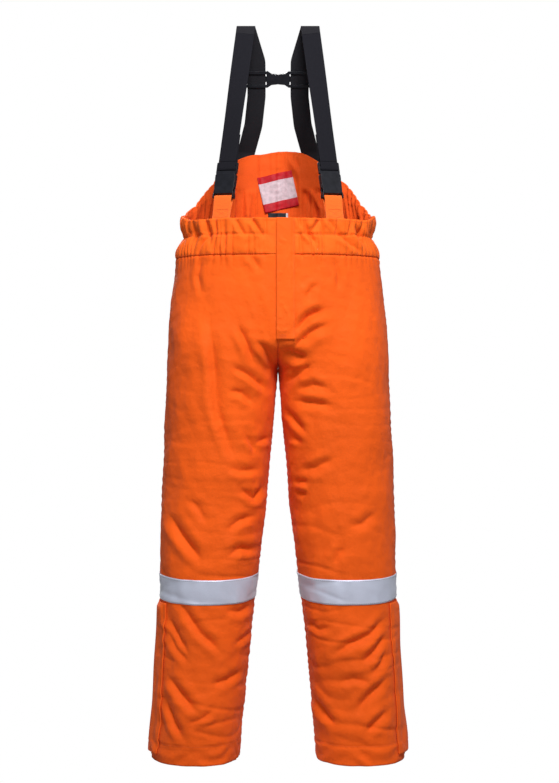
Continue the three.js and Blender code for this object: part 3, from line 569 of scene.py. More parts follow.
def stitches(name, runs, material, rides_on="garment", length=3.0, space=1.5, thread=0.5):
    """Rows of thread along (points, normals) runs."""
    bm = bmesh.new()
    for points, normals in runs:
        marks = marks_along(points)
        for at in np.arange(length, marks[-1] - length, length + space):
            middle, ahead, up = (
                Vector([np.interp(s, marks, line[:, k]) for k in range(3)])
                for s, line in ((at, points), (at + 0.5, points), (at, normals))
            )
            run = (ahead - middle).normalized()
            out = (up - run * up.dot(run)).normalized()
            turned = Matrix((out.cross(run), out, run)).transposed().to_4x4()
            size = Matrix.Diagonal((thread * MM, thread * 0.7 * MM, length / 2 * MM, 1))
            place = Matrix.Translation(Vector(metres(np.array(middle + out * 0.15))))
            bmesh.ops.create_uvsphere(bm, u_segments=6, v_segments=4, radius=1,
                                      matrix=place @ turned @ size)
    bmesh.ops.recalc_face_normals(bm, faces=bm.faces)
    return piece(name, made_mesh(bm, name), rides_on, None, material)


def finished_copy(node_name, material, bevel, segments=2):
    """A node's own shape with merged faces and rounded edges, riding where the node does."""
    source = frame["nodes"][node_name]
    bm = bmesh.new()
    bm.from_mesh(source.data)
    bmesh.ops.remove_doubles(bm, verts=bm.verts, dist=2e-6)
    bmesh.ops.dissolve_limit(bm, angle_limit=math.radians(1), verts=bm.verts, edges=bm.edges)
    name = f"{node_name}_finished"
    mesh = made_mesh(bm, name)
    item = piece(name, mesh, source["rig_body"], node_name, material, smooth=False)
    round_edges(item, bevel, segments, 28)
    mesh.shade_smooth()
    sharp = item.modifiers.new("facets", "WEIGHTED_NORMAL")
    sharp.keep_sharp = False


# ---- Materials ----
WAVE_PERIOD = math.pi / 10  # of a wave texture at scale 1


def node(nodes, kind, **values):
    made = nodes.new(kind)
    for key, value in values.items():
        if key in made.inputs:
            made.inputs[key].default_value = value
        else:
            setattr(made, key, value)
    return made


class Paint:
    """A material being made: its coordinates, its patterns and the surface they feed."""

    def __init__(self, name):
        self.material = bpy.data.materials.new(name)
        self.material.use_nodes = True
        tree = self.material.node_tree
        self.nodes, self.links = tree.nodes, tree.links
        self.nodes.clear()
        output = self.nodes.new("ShaderNodeOutputMaterial")
        self.surface = self.nodes.new("ShaderNodeBsdfPrincipled")
        self.put(output.inputs["Surface"], self.surface.outputs["BSDF"])

    def put(self, socket, value):
        """Link another node's output to the socket, or set its plain value."""
        if isinstance(value, bpy.types.NodeSocket):
            self.links.new(value, socket)
        else:
            socket.default_value = value

    def feed(self, values):
        for key, value in values.items():
            self.put(self.surface.inputs[key], value)
        return self.material

    def coordinates(self):
        """The sheet's flat coordinates and the piece's own solid ones."""
        place = self.nodes.new("ShaderNodeTexCoord")
        return place.outputs["UV"], place.outputs["Object"]

    def maths(self, operation, a, b):
        made = node(self.nodes, "ShaderNodeMath", operation=operation)
        self.put(made.inputs[0], a)
        self.put(made.inputs[1], b)
        return made.outputs[0]

    def times(self, a, b):
        return self.maths("MULTIPLY", a, b)

    def plus(self, a, b):
        return self.maths("ADD", a, b)

    def varied(self, vector, scale, low, high, detail=3):
        """Noise remapped to run from low to high."""
        noise = node(self.nodes, "ShaderNodeTexNoise", Scale=scale, Detail=detail)
        self.put(noise.inputs["Vector"], vector)
        spread = node(self.nodes, "ShaderNodeMapRange", **{
            "From Min": 0.3, "From Max": 0.7, "To Min": low, "To Max": high})
        self.put(spread.inputs["Value"], noise.outputs["Fac"])
        return spread.outputs["Result"]

    def tinted(self, colour, factor):
        """The colour, brightened or darkened by a factor."""
        tint = node(self.nodes, "ShaderNodeVectorMath", operation="SCALE")
        self.put(tint.inputs[0], colour)
        self.put(tint.inputs["Scale"], factor)
        return tint.outputs["Vector"]

    def raised(self, height, distance, strength=1.0, after=None):
        bump = node(self.nodes, "ShaderNodeBump", Strength=strength, Distance=distance)
        self.put(bump.inputs["Height"], height)
        if after:
            self.put(bump.inputs["Normal"], after)
        return bump.outputs["Normal"]

    def stripes(self, vector, pitch, degrees):
        """Even ribs of that pitch in metres, turned about the sheet's normal."""
        turned = node(self.nodes, "ShaderNodeMapping", Rotation=(0, 0, math.radians(degrees)))
        self.put(turned.inputs["Vector"], vector)
        wave = node(self.nodes, "ShaderNodeTexWave", Scale=WAVE_PERIOD / pitch)
        self.put(wave.inputs["Vector"], turned.outputs["Vector"])
        return wave.outputs["Fac"]


def woven_cloth(name, colour, roughness=0.72, pitch=0.0011, sheen=0.08, shine=0.18):
    """Twill: diagonal ribs crossed by the warp, uneven dye, small creases and a soft sheen."""
    paint = Paint(name)
    flat, solid = paint.coordinates()
    warp = paint.stripes(flat, pitch * 0.6, 0)
    weave = paint.times(paint.stripes(flat, pitch, 58), paint.plus(warp, 0.5))
    dye = paint.varied(solid, 7, 0.93, 1.05)
    fibre = paint.varied(flat, 420, 0.94, 1.05, 2)
    shade = paint.times(paint.times(dye, fibre), paint.plus(paint.times(weave, 0.06), 0.97))
    bent = paint.raised(paint.varied(solid, 55, 0, 1, 4), 0.0009)
    return paint.feed({
        "Base Color": paint.tinted(colour, shade),
        "Normal": paint.raised(weave, 0.00018, 0.6, bent),
        "Roughness": paint.varied(solid, 30, roughness - 0.06, roughness + 0.06),
        "Specular IOR Level": shine,
        "Sheen Weight": sheen,
        "Sheen Roughness": 0.5,
        "Sheen Tint": (*(0.5 + c / 2 for c in colour), 1),
    })


def ribbed_webbing(name, colour, sheen=0.0):
    """Woven webbing: cross ribs with a herringbone of lengthways threads."""
    paint = Paint(name)
    flat, _ = paint.coordinates()
    ribs = paint.stripes(flat, 0.0021, 90)
    height = paint.plus(ribs, paint.times(paint.stripes(flat, 0.0013, 24), 0.6))
    shade = paint.times(paint.varied(flat, 600, 0.75, 1.3, 2),
                        paint.plus(paint.times(ribs, 0.4), 0.75))
    return paint.feed({
        "Base Color": paint.tinted(colour, shade),
        "Normal": paint.raised(height, 0.0003, 0.8),
        "Roughness": paint.varied(flat, 150, 0.8, 0.9),
        "Sheen Weight": sheen,
        "Specular IOR Level": 0.1,
    })


def beaded_tape(name, colour):
    """Retroreflective tape: glass beads in a silvery coat, lightly scuffed."""
    paint = Paint(name)
    flat, _ = paint.coordinates()
    beads = node(paint.nodes, "ShaderNodeTexVoronoi", Scale=1500)
    paint.put(beads.inputs["Vector"], flat)
    shade = paint.times(paint.varied(flat, 24, 0.93, 1.05, 5),
                        paint.varied(flat, 700, 0.93, 1.06, 2))
    return paint.feed({
        "Base Color": paint.tinted(colour, shade),
        "Normal": paint.raised(beads.outputs["Distance"], 0.0001, 0.5),
        "Roughness": paint.varied(flat, 60, 0.4, 0.55),
        "Metallic": 0.25,
        "Sheen Weight": 0.2,
    })


def moulded_plastic(name, colour):
    paint = Paint(name)
    _, solid = paint.coordinates()
    return paint.feed({
        "Base Color": paint.tinted(colour, paint.varied(solid, 90, 0.8, 1.3)),
        "Normal": paint.raised(paint.varied(solid, 1400, 0, 1, 2), 0.00008, 0.5),
        "Roughness": paint.varied(solid, 160, 0.34, 0.5),
        "Specular IOR Level": 0.22,
    })


def worn_brass(name, colour):
    paint = Paint(name)
    _, solid = paint.coordinates()
    return paint.feed({
        "Base Color": paint.tinted(colour, paint.varied(solid, 260, 0.65, 1.1, 5)),
        "Roughness": paint.varied(solid, 700, 0.24, 0.46),
        "Normal": paint.raised(paint.varied(solid, 900, 0, 1), 0.00005, 0.4),
        "Metallic": 1.0,
    })


def banded_label(name, ground, band, edges, size):
    """A satin label with a coloured band along each of the given stretches of its flat size."""
    paint = Paint(name)
    flat, _ = paint.coordinates()
    split = node(paint.nodes, "ShaderNodeSeparateXYZ")
    paint.put(split.inputs[0], flat)
    shares = {"over": paint.maths("DIVIDE", split.outputs["X"], size[0]),
              "up": paint.maths("DIVIDE", split.outputs["Y"], size[1])}
    painted = None
    for axis, low, high in edges:
        inside = paint.times(paint.maths("GREATER_THAN", shares[axis], low),
                             paint.maths("LESS_THAN", shares[axis], high))
        painted = paint.maths("MAXIMUM", painted, inside) if painted else inside
    blend = node(paint.nodes, "ShaderNodeMix", data_type="RGBA")
    for socket, value in ((0, painted), (6, (*ground, 1)), (7, (*band, 1))):
        paint.put(blend.inputs[socket], value)
    thread = paint.times(paint.varied(flat, 500, 0.9, 1.05, 2),
                         paint.varied(flat, 130, 0.82, 1.08, 1))
    return paint.feed({
        "Base Color": paint.tinted(blend.outputs[2], thread),
        "Normal": paint.raised(paint.stripes(flat, 0.0008, 90), 0.0001, 0.5),
        "Roughness": 0.55,
        "Specular IOR Level": 0.2,
    })


shell_cloth = woven_cloth("orange_shell_twill", (0.88, 0.108, 0.004))
band_cloth = woven_cloth("orange_waistband_twill", (0.93, 0.130, 0.006))
flap_cloth = woven_cloth("orange_flap_twill", (0.90, 0.114, 0.005))
inner_cloth = woven_cloth("orange_facing_cloth", (0.80, 0.088, 0.006), 0.75, 0.0009)
lining_cloth = woven_cloth("quilted_orange_lining", (0.55, 0.075, 0.014), 0.6, 0.0007, 0.2, 0.4)
thread_cloth = woven_cloth("orange_thread", (0.80, 0.12, 0.018), 0.6, 0.0004, 0.3)
silver_thread = woven_cloth("grey_thread", (0.34, 0.36, 0.40), 0.6, 0.0004, 0.3)
black_thread = woven_cloth("black_thread", (0.02, 0.02, 0.024), 0.6, 0.0004, 0.3)
elastic_cloth = ribbed_webbing("white_ribbed_elastic", (0.62, 0.6, 0.56))
tab_webbing = ribbed_webbing("orange_tab_webbing", (0.92, 0.15, 0.018), sheen=0.2)
zip_tape = woven_cloth("orange_zip_tape", (0.6, 0.09, 0.014), 0.75, 0.0006, 0.1)
silver_tape = beaded_tape("silver_reflective_tape", (0.60, 0.63, 0.76))
front_webbing = ribbed_webbing("black_brace_webbing", (0.0105, 0.0102, 0.014))
# The back straps' webbing is the front straps' black webbing painted lighter, to make up for the
# shade the back straps hang in.
lightened_back_webbing = ribbed_webbing("back_webbing_painted_lighter", (0.017, 0.0165, 0.020))
black_plastic = moulded_plastic("black_moulded_plastic", (0.009, 0.0095, 0.013))
brass = worn_brass("worn_brass", (0.52, 0.33, 0.11))
CARE_LABEL = (0.078, 0.078)
SIZE_LABEL = (0.044, 0.026)
care_cloth = banded_label("care_label_satin", (0.60, 0.46, 0.50), (0.46, 0.005, 0.013),
                          [("up", 0.0, 0.24), ("up", 0.81, 1.0)], CARE_LABEL)
size_cloth = banded_label("size_label_satin", (0.014, 0.015, 0.02), (0.7, 0.7, 0.72),
                          [("over", 0.9, 1.0)], SIZE_LABEL)


# ---- Shell and lining ----
LEG_ROWS = np.linspace(0, FORK_Z, 250)
CROTCH_ROWS = FORK_Z + CROTCH_CURVE * (1 - np.cos(np.linspace(0, math.pi / 2, 25)))[1:]
SEAT_ROWS = np.linspace(FORK_Z + CROTCH_CURVE, WAIST_SEAM_Z, 52)[1:]
PANEL_ROWS = np.concatenate([LEG_ROWS, CROTCH_ROWS, SEAT_ROWS])
LINING_ROWS = np.concatenate([[HEM_Z / 2], PANEL_ROWS[PANEL_ROWS > HEM_Z / 2][::2],
                              [WAIST_SEAM_Z - 1]])
PANEL_FLAT = (0.355, WAIST_SEAM_Z * MM)


def zip_edge(side):
    """Where the cloth ends beside the fly zip, a hair off the middle when that is where it ends."""
    return FLY_ZIP_X + side * ZIP_OPENING / 2 or -0.01


def panel_place(side, facing, rows, inset, extra=None):
    """From the side seam, or the slit of the ankle zip, to the inseam, or the fly's zip."""
    def place(across, up):
        z = rows[np.rint(up * (len(rows) - 1)).astype(int)]
        start = np.where(z < CALF_Z, mix(1.2, ANKLE_SLIT, smoothstep(z, 10, 13)), 0)
        beside_fly = (z > FLY_FOOT_Z) & (facing > 0)
        end = np.where(beside_fly, front_turn(side, zip_edge(side), z), 180)
        turn = mix(start, end, across) * facing
        return skin(side, turn, z, inset, extra(turn, z) if extra else 0.0)
    return place


def quilting(turn, z):
    """Pillows between diagonal rows of quilting, on the inner side."""
    run = np.radians(turn) * 105
    diamonds = np.abs(np.sin(math.pi * (run + z) / 75) * np.sin(math.pi * (run - z) / 75))
    return -2.4 * diamonds**0.5 + 1.2


for side, name in SIDES.items():
    for facing, half in ((1, "front"), (-1, "back")):
        cloth(f"{name}_{half}_panel", 116, len(PANEL_ROWS) - 1,
              panel_place(side, facing, PANEL_ROWS, 0), PANEL_FLAT, SHELL,
              shell_cloth)
        cloth(f"{name}_{half}_lining", 46, len(LINING_ROWS) - 1,
              panel_place(side, facing, LINING_ROWS, LINING_INSET, quilting), PANEL_FLAT, LINING,
              lining_cloth)


# ---- Hems and reflective bands ----
REFLECTIVE_HALF = 25
REFLECTIVE = 1
REFLECTIVE_PROUD = 1.3
STITCH_MARGIN = 2.5
HEM_FACING_LEVELS = (0.3, 18.4)
HEM_FACING_GAP = 12  # degrees left open on each side of the ankle zip


def ring_place(side, start, end, low, high, inset, proud, dip=0.0):
    """Round a leg from turn start to turn end, lower by dip in front and higher behind."""
    def place(across, up):
        turn = on_leg(mix(start, end, across))
        return skin(side, turn, mix(low, high, up) - dip * np.sin(np.radians(turn)), inset, proud)
    return place


for side, name in SIDES.items():
    cloth(f"{name}_hem_facing", 150, 6,
          ring_place(side, HEM_FACING_GAP, 360 - HEM_FACING_GAP, *HEM_FACING_LEVELS,
                     HEM_FACING_INSET, 0),
          (0.56, 0.018), FACING, inner_cloth)
    low, high = REFLECTIVE_Z - REFLECTIVE_HALF, REFLECTIVE_Z + REFLECTIVE_HALF
    cloth(f"{name}_reflective_band", 160, 14,
          ring_place(side, 0, 360, low, high, 0, REFLECTIVE_PROUD, REFLECTIVE_DIP),
          (0.62, 0.05), REFLECTIVE, silver_tape,
          ring=True,
          title=f"{name}_reflective_tape")
    turn = on_leg(np.linspace(0, 360, 220))
    dip = REFLECTIVE_DIP * np.sin(np.radians(turn))
    stitches(f"{name}_reflective_tape_stitches",
             [skin(side, turn, level - dip, 0, REFLECTIVE_PROUD + 0.1)
              for level in (low + STITCH_MARGIN, high - STITCH_MARGIN)],
             silver_thread)
    turn = on_leg(np.linspace(STORM_FLAP[1] + 1, 360 - ANKLE_SLIT - 1, 200))
    stitches(f"{name}_hem_stitches", [skin(side, turn, HEM_Z, 0, 0.1)], thread_cloth)


# ---- Waistband, elastic, facings and the high back ----
FRONT_COLUMNS, BACK_COLUMNS = 170, 300
FRONT_ROWS, BACK_ROWS, CHANNEL_ROWS = 32, 70, 16
FRONT_SPAN, BACK_SPAN = 0.33, 0.66
FRONT_HEIGHT, BACK_HEIGHT, ELASTIC_WIDTH = 0.09, 0.2, 0.038


def band_place(turns, inset, close_top=False):
    """turns gives the turn and side at a share along the band, whose top follows the cut edge."""
    def place(across, up):
        turn, side = turns(across)
        held = np.where(turn > 180, 360 - turn, turn)
        z = mix(WAIST_SEAM_Z, top_edge(held), up) + wander(side, held) * up**2
        depth = mix(inset, 2.2, smoothstep(up, 0.86, 1.0)) if close_top else inset
        off_zip = np.abs(body(side, turn, z)[:, 0] - FLY_ZIP_X)
        return skin(side, turn, z, depth, 0.5 * np.where(held > 0, smoothstep(off_zip, 16, 32), 1))
    return place


def channel_place(turns):
    def place(across, up):
        turn, side = turns(across)
        return skin(side, turn, mix(WAIST_SEAM_Z + 4, ELASTIC_Z - 3, up), ELASTIC_INSET, 0.5)
    return place


def front_turns(side, stop):
    last = float(front_turn(side, stop, ELASTIC_Z))
    return lambda across: (mix(0.1, last, across), float(side))


def back_turns(across):
    round_back = mix(0.1, 359.9, across)
    right = round_back <= 180
    return np.where(right, -round_back, round_back - 360), np.where(right, -1.0, 1.0)


for side, name in SIDES.items():
    to_zip = front_turns(side, zip_edge(side))
    to_guard = front_turns(side, FLY_ZIP_X + side * FLY_CLEAR)
    cloth(f"{name}_front_waistband", FRONT_COLUMNS, FRONT_ROWS, band_place(to_zip, 0),
          (FRONT_SPAN, FRONT_HEIGHT), BAND, band_cloth)
    cloth(f"{name}_front_elastic", FRONT_COLUMNS, CHANNEL_ROWS, channel_place(to_guard),
          (FRONT_SPAN, ELASTIC_WIDTH), ELASTIC, elastic_cloth,
          title=f"{name}_front_elastic_band")
    cloth(f"{name}_front_waist_facing", FRONT_COLUMNS, FRONT_ROWS,
          band_place(to_guard, FACING_INSET, close_top=True),
          (FRONT_SPAN, FRONT_HEIGHT), FACING, inner_cloth)
cloth("high_back", BACK_COLUMNS, BACK_ROWS, band_place(back_turns, 0),
      (BACK_SPAN, BACK_HEIGHT), BAND, band_cloth)
cloth("back_elastic", BACK_COLUMNS, CHANNEL_ROWS, channel_place(back_turns),
      (BACK_SPAN, ELASTIC_WIDTH), ELASTIC, elastic_cloth,
      title="back_elastic_band")
cloth("high_back_facing", BACK_COLUMNS, BACK_ROWS,
      band_place(back_turns, FACING_INSET, close_top=True),
      (BACK_SPAN, BACK_HEIGHT), FACING, inner_cloth)


def waist_run(name, level, below_top=False):
    """A row of stitching round the waist, from the fly's left edge to its flap."""
    runs = []
    for side in SIDES:
        stop = FLY_FLAP[1] + 1.5 if side > 0 else FLY_FLAP[0] + 2
        turn = np.linspace(0, float(front_turn(side, stop, 1030)), 200)
        runs.append(skin(side, turn, level + (top_edge(turn) if below_top else 0), 0, 0.7))
    turn, side = back_turns(np.linspace(0.001, 0.999, 320))
    top = top_edge(turn) + wander(side, turn) if below_top else 0
    runs.append(skin(side, turn, level + top, 0, 0.7))
    stitches(name, runs, thread_cloth)


waist_run("waist_seam_stitches", WAIST_SEAM_Z + STITCH_MARGIN)
waist_run("elastic_channel_stitches", ELASTIC_Z)
waist_run("waist_edge_stitches", -4, below_top=True)


# ---- Labels inside the high back ----
def label_place(size, middle_z, tilt):
    """Flat against the facing, with a curl that grows towards the lower corners."""
    width, height = (length / MM for length in size)

    def place(across, up):
        x, level = (across - 0.5) * width, (up - 0.5) * height
        over = x * math.cos(tilt) - level * math.sin(tilt)
        z = middle_z + x * math.sin(tilt) + level * math.cos(tilt)
        turn = turn_at(np.maximum(np.abs(over), 1e-3), z, -1)
        points, normals = skin(np.where(over < 0, -1.0, 1.0), turn, z, LABEL_INSET, 0.5)
        curl = 1.6 * (np.abs(2 * across - 1) ** 3) * (1 - up) ** 2
        curl = curl + 0.5 + 0.5 * np.sin(7 * across + 4 * up + 5 * across * up)
        return points - normals * curl[:, None], -normals
    return place


cloth("care_label", 26, 26, label_place(CARE_LABEL, CARE_LABEL_Z, CARE_LABEL_TILT), CARE_LABEL,
      LABEL, care_cloth)
cloth("size_label", 16, 10, label_place(SIZE_LABEL, SIZE_LABEL_Z, 0), SIZE_LABEL,
      LABEL, size_cloth)


# ---- Fly: flap, guard and press stud ----
FLY_FLAP_FOOT_Z = FLY_FOOT_Z - 5
FLY_CREASES = [
    (2.2, 7, [(33, 1027), (22, 990), (8, 954)]),
    (1.8, 6, [(6, 905), (12, 890), (8, 878)]),
    (1.6, 7, [(0, 1062), (14, 1046), (30, 1044)]),
    (1.8, 5, [(-2, 874), (8, 866), (18, 870)]),
    (1.6, 5, [(4, 858), (16, 854), (28, 862)]),
    (1.4, 6, [(20, 940), (16, 918), (24, 896)]),
]


def front_place(x0, x1, z0, z1, inset, lift):
    def place(across, up):
        x, z = mix(x0, x1, across), mix(z0, z1, up)
        side = np.where(x < 0, -1.0, 1.0)
        turn = turn_at(np.maximum(np.abs(x), 1e-3), z, 1)
        return skin(side, turn, z, inset, lift(across, up, side, turn, z) if lift else 0.0)
    return place


def fly_lift(across, up, side, turn, z):
    """Sewn down along its far edge and foot, standing clear of the zip elsewhere."""
    sewn = 2.6
    free = (1 - smoothstep(across, 0.72, 0.98)) * smoothstep(up, 0.0, 0.09)
    points = body(side, turn, z)
    still = np.clip(0.35 * drape(120.0, z, points, zips=False), -1.4, 2.2)
    creases = sum(fold(points[:, 0], z, *each) for each in FLY_CREASES)
    clear = sewn + (FLAP_STANDOFF + FLAP - sewn) * free
    return np.maximum(clear + still * free + creases * (0.4 + 0.6 * free), clear + 0.2 * free)


def point_on(side, turn, z):
    """A point of the hanging cloth, in metres."""
    return metres(skin(side, turn, z)[0])[0]


def front_point(x, z):
    return point_on(1 if x >= 0 else -1, turn_at(abs(x), z, 1), z)


fly = cloth("fly_flap", 20, 110, front_place(*FLY_FLAP, FLY_FLAP_FOOT_Z, BAND_TOP_Z, 0, fly_lift),
            (0.036, 0.24), FLAP, flap_cloth, rides_on=None)
front_point(FLY_FLAP[1], FLY_HINGE_Z)
front_point(FLY_FLAP[1] - 10, FLY_HINGE_Z)
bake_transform(fly)
cloth("fly_guard", 16, 50,
      front_place(FLY_ZIP_X - FLY_CLEAR, FLY_ZIP_X + FLY_CLEAR, FLY_FOOT_Z + 2, BAND_TOP_Z - 4,
                  FLY_GUARD_INSET, None),
      (0.036, 0.23), FACING, inner_cloth)


def flap_run(x, z0, z1):
    """A row on the fly flap's own face."""
    z = np.linspace(z0, z1, 90)
    side = 1.0 if x >= 0 else -1.0
    turn = turn_at(abs(x), z, 1)
    across = (x - FLY_FLAP[0]) / (FLY_FLAP[1] - FLY_FLAP[0])
    up = (z - FLY_FLAP_FOOT_Z) / (BAND_TOP_Z - FLY_FLAP_FOOT_Z)
    return skin(side, turn, z, 0, fly_lift(across, up, side, turn, z))


stitches("fly_seam_stitches", [flap_run(31, FLY_FOOT_Z, BAND_TOP_Z - 3)], thread_cloth)
stitches("fly_edge_stitches", [flap_run(0, FLY_FOOT_Z + 14, BAND_TOP_Z - 3)], thread_cloth,
         rides_on="fly_flap_leaf")
stitches("fly_foot_bar_tack",
         [flap_run(x, FLY_FOOT_Z - 4, FLY_FOOT_Z + 6) for x in np.linspace(2, 16, 9)],
         thread_cloth, length=2.4, space=0.3)


# ---- Storm flaps ----
def storm_lift(across, side, turn, z):
    """across runs from the free back edge to the sewn front edge, which carries a raised piping."""
    sewn = 2.4
    free = (1 - smoothstep(across, 0.78, 0.93)) * (1 - smoothstep(z, CALF_Z - 12, CALF_Z))
    piping = 2.2 * bell(across - 0.965, 0.022)
    flare = 4.5 * (1 - across) ** 0.8 * (1 - smoothstep(z, 20, 120))
    hem = 0.8 * bell(z - STORM_FLAP_FOOT_Z - 16, 3)
    slack = 1.12 * ripple(body(side, turn, z), 90, 21) * free
    return sewn + (FLAP_STANDOFF + FLAP - sewn) * free + piping + flare + slack - hem


def on_storm_flap(side, across, z):
    turn = mix(*STORM_FLAP, across)
    return skin(side, turn, z, 0, storm_lift(across, side, turn, z))


def storm_place(side):
    return lambda across, up: on_storm_flap(side, across, mix(STORM_FLAP_FOOT_Z, CALF_Z, up))


for side, name in SIDES.items():
    flap = cloth(f"{name}_storm_flap", 46, 90, storm_place(side), (0.078, 0.303), FLAP,
                 flap_cloth, rides_on=None)
    point_on(side, STORM_FLAP[1], STORM_HINGE_Z)
    point_on(side, STORM_FLAP[1] - 8, STORM_HINGE_Z)
    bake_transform(flap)
    z = np.linspace(STORM_FLAP_FOOT_Z + 3, CALF_Z - 3, 110)
    seam, edge = (on_storm_flap(side, (turn - STORM_FLAP[0]) / (STORM_FLAP[1] - STORM_FLAP[0]), z)
                  for turn in (STORM_FLAP[1] - 4, STORM_FLAP[0] + 3))
    hems = [on_storm_flap(side, np.linspace(0.02, 0.74, 60), STORM_FLAP_FOOT_Z + up)
            for up in (16, 20)]
    stitches(f"{name}_storm_flap_seam_stitches", [seam], thread_cloth)
    stitches(f"{name}_storm_flap_edge_stitches", [edge, *hems], thread_cloth,
             rides_on=f"{name}_storm_flap_leaf")


# ---- Zips ----
TOOTH = (3.4, 2.4, 1.05)
TOOTH_PITCH = 2.4
TOOTH_BITE = 1.2
TOOTH_OUT = 1.5
BRASS_EDGE = 0.25


def zip_frame(foot, head, out):
    """A zip's foot, its directions across, inwards and along, and its length."""
    run = head - foot
    length = np.linalg.norm(run)
    run = run / length
    inwards = -out + run * (out @ run)
    inwards = inwards / np.linalg.norm(inwards)
    return foot, np.cross(inwards, run), inwards, run, length


def zip_half(node_name, lie, sign):
    """A tape with its row of teeth; every tooth is a small block with rounded edges."""
    foot, across_way, inwards, run, length = lie

    def place(across, up):
        sideways = sign * mix(TOOTH_OUT, 0.7 + TAPE_WIDTH, across)
        sag = 0.25 * np.sin(up * length / 5.5) * across
        points = foot + np.outer(sideways, across_way) + np.outer(up * length, run)
        return points + np.outer(TAPE_INSET + sag, inwards), np.tile(-inwards, (len(up), 1))

    cloth(node_name, 6, int(length / 4), place, (TAPE_WIDTH * MM, length * MM), TAPE,
          zip_tape, title=f"{node_name}_tape")
    bm = bmesh.new()
    turned = Matrix(np.stack([across_way, inwards, run], axis=1).tolist()).to_4x4()
    shape = turned @ Matrix.Diagonal((*(size * MM for size in TOOTH), 1))
    start = foot + across_way * sign * TOOTH_OUT + inwards * TEETH_MIDDLE
    for i in range(int(length / TOOTH_PITCH) - 1):
        middle = start + run * ((i + 0.5) * TOOTH_PITCH + (TOOTH_BITE if sign > 0 else 0))
        bmesh.ops.create_cube(bm, size=1, matrix=Matrix.Translation(Vector(metres(middle))) @ shape)
    bmesh.ops.bevel(bm, geom=bm.edges[:], offset=BRASS_EDGE * MM, segments=1, profile=0.5,
                    affect="EDGES", material=-1)
    bmesh.ops.recalc_face_normals(bm, faces=bm.faces)
    name = f"{node_name}_teeth"
    piece(name, made_mesh(bm, name), "garment", None, brass, smooth=False)


def bare(side, turn, z):
    return body(side, turn, z, 0.0, 0)


zip_lies = {"fly": zip_frame(bare(1, turn_at(FLY_ZIP_X, FLY_FOOT_Z + 4, 1), FLY_FOOT_Z + 4),
                             bare(1, turn_at(FLY_ZIP_X, BAND_TOP_Z - 8, 1), BAND_TOP_Z - 8),
                             np.array([0.0, -1.0, 0.0]))}
for side, name in SIDES.items():
    zip_lies[f"{name}_ankle"] = zip_frame(bare(side, 0, 13), bare(side, 0, CALF_Z - 4),
                                          np.array([float(side), 0, 0]))
for name, lie in zip_lies.items():
    zip_half(f"{name}_zip_half_a", lie, -1)
    zip_half(f"{name}_zip_half_b", lie, 1)
    for part in ("slider", "pull"):
        finished_copy(f"{name}_zip_{part}", brass, BRASS_EDGE)
for part in ("socket", "post"):
    finished_copy(f"waist_stud_{part}", brass, BRASS_EDGE)


# ---- Braces ----
LOOP_STEP = 1.6  # between rows of a strap's mesh where it loops round a bar
LEVEL = np.array([1.0, 0, 0])
CROSS_HALF = WEBBING_WIDTH / 2 - 4


def unit(vector):
    return vector / np.linalg.norm(vector, axis=-1, keepdims=True)


def smooth_route(points, across, step):
    """A rounded line through given points, with the webbing's width direction along it."""
    points, across = np.array(points, float), np.array(across, float)
    marks = marks_along(points)
    at = np.linspace(0, marks[-1], max(int(marks[-1] / step), 8))
    line, ways = (np.stack([np.interp(at, marks, given[:, k]) for k in range(3)], axis=-1)
                  for given in (points, across))
    for _ in range(2):
        line[1:-1] = (line[:-2] + 2 * line[1:-1] + line[2:]) / 4
    return line, ways, marks[-1]


def webbing(node_name, points, across, material, rides_on="garment", step=3.0):
    """A strap along the points, with the way its width runs given at each of them."""
    line, ways, length = smooth_route(points, across, step)
    count = len(line) - 1
    tangents = unit(np.gradient(line, axis=0))
    ways = unit(ways - tangents * np.sum(ways * tangents, axis=1, keepdims=True))
    normals = np.cross(tangents, ways)

    def place(over, up):
        index = np.rint(up * count).astype(int)
        aside = (over - 0.5) * WEBBING_WIDTH
        return line[index] + ways[index] * aside[:, None], normals[index]

    name, flat = f"{node_name}_webbing", (WEBBING_WIDTH * MM, length * MM)
    mesh = cloth_mesh(name, 10, count, place, flat)
    item = piece(name, mesh, rides_on, node_name, material)
    thicken(item, WEBBING, 0.0)
    round_edges(item, 0.35, 2, 50)
    return item, line, ways, normals


def cross_stitch(name, route, first, last, material, sign):
    """A sewn box with a cross in it, on the webbing between two shares of its length."""
    line, ways, normals = route
    ends = [int(round(share * (len(line) - 1))) for share in (first, last)]
    spots = [line[ends[end]] + ways[ends[end]] * over * CROSS_HALF
             + normals[ends[end]] * sign * (WEBBING / 2 + 0.1)
             for end, over in ((0, -1), (0, 1), (1, 1), (1, -1), (0, -1), (1, 1), (1, -1), (0, 1))]
    out = np.tile(normals[ends[0]] * sign, (12, 1))
    runs = [(np.linspace(a, b, 12), out) for a, b in zip(spots[:-1], spots[1:])]
    stitches(name, runs, material, length=2.6, space=1.0, thread=0.45)


def brace_frame(side):
    """A front brace's sewn foot, its directions across, inwards and up, and its shoulder."""
    sewn = body(side, turn_at(TAB_X, BAND_TOP_Z, 1), BAND_TOP_Z, TAB_INSET, 0)
    sewn = sewn - [0, 0, TAB_SUNK]
    shoulder = np.array([side * FOLD_X, -FOLD_FLAT / 2 - FOLD_EASE, SHOULDER_Z])
    up = unit(shoulder - sewn)
    across = np.array([math.cos(BRACE_YAW), side * math.sin(BRACE_YAW), 0])
    across = unit(across - up * (across @ up))
    return sewn, across, np.cross(up, across), up, shoulder


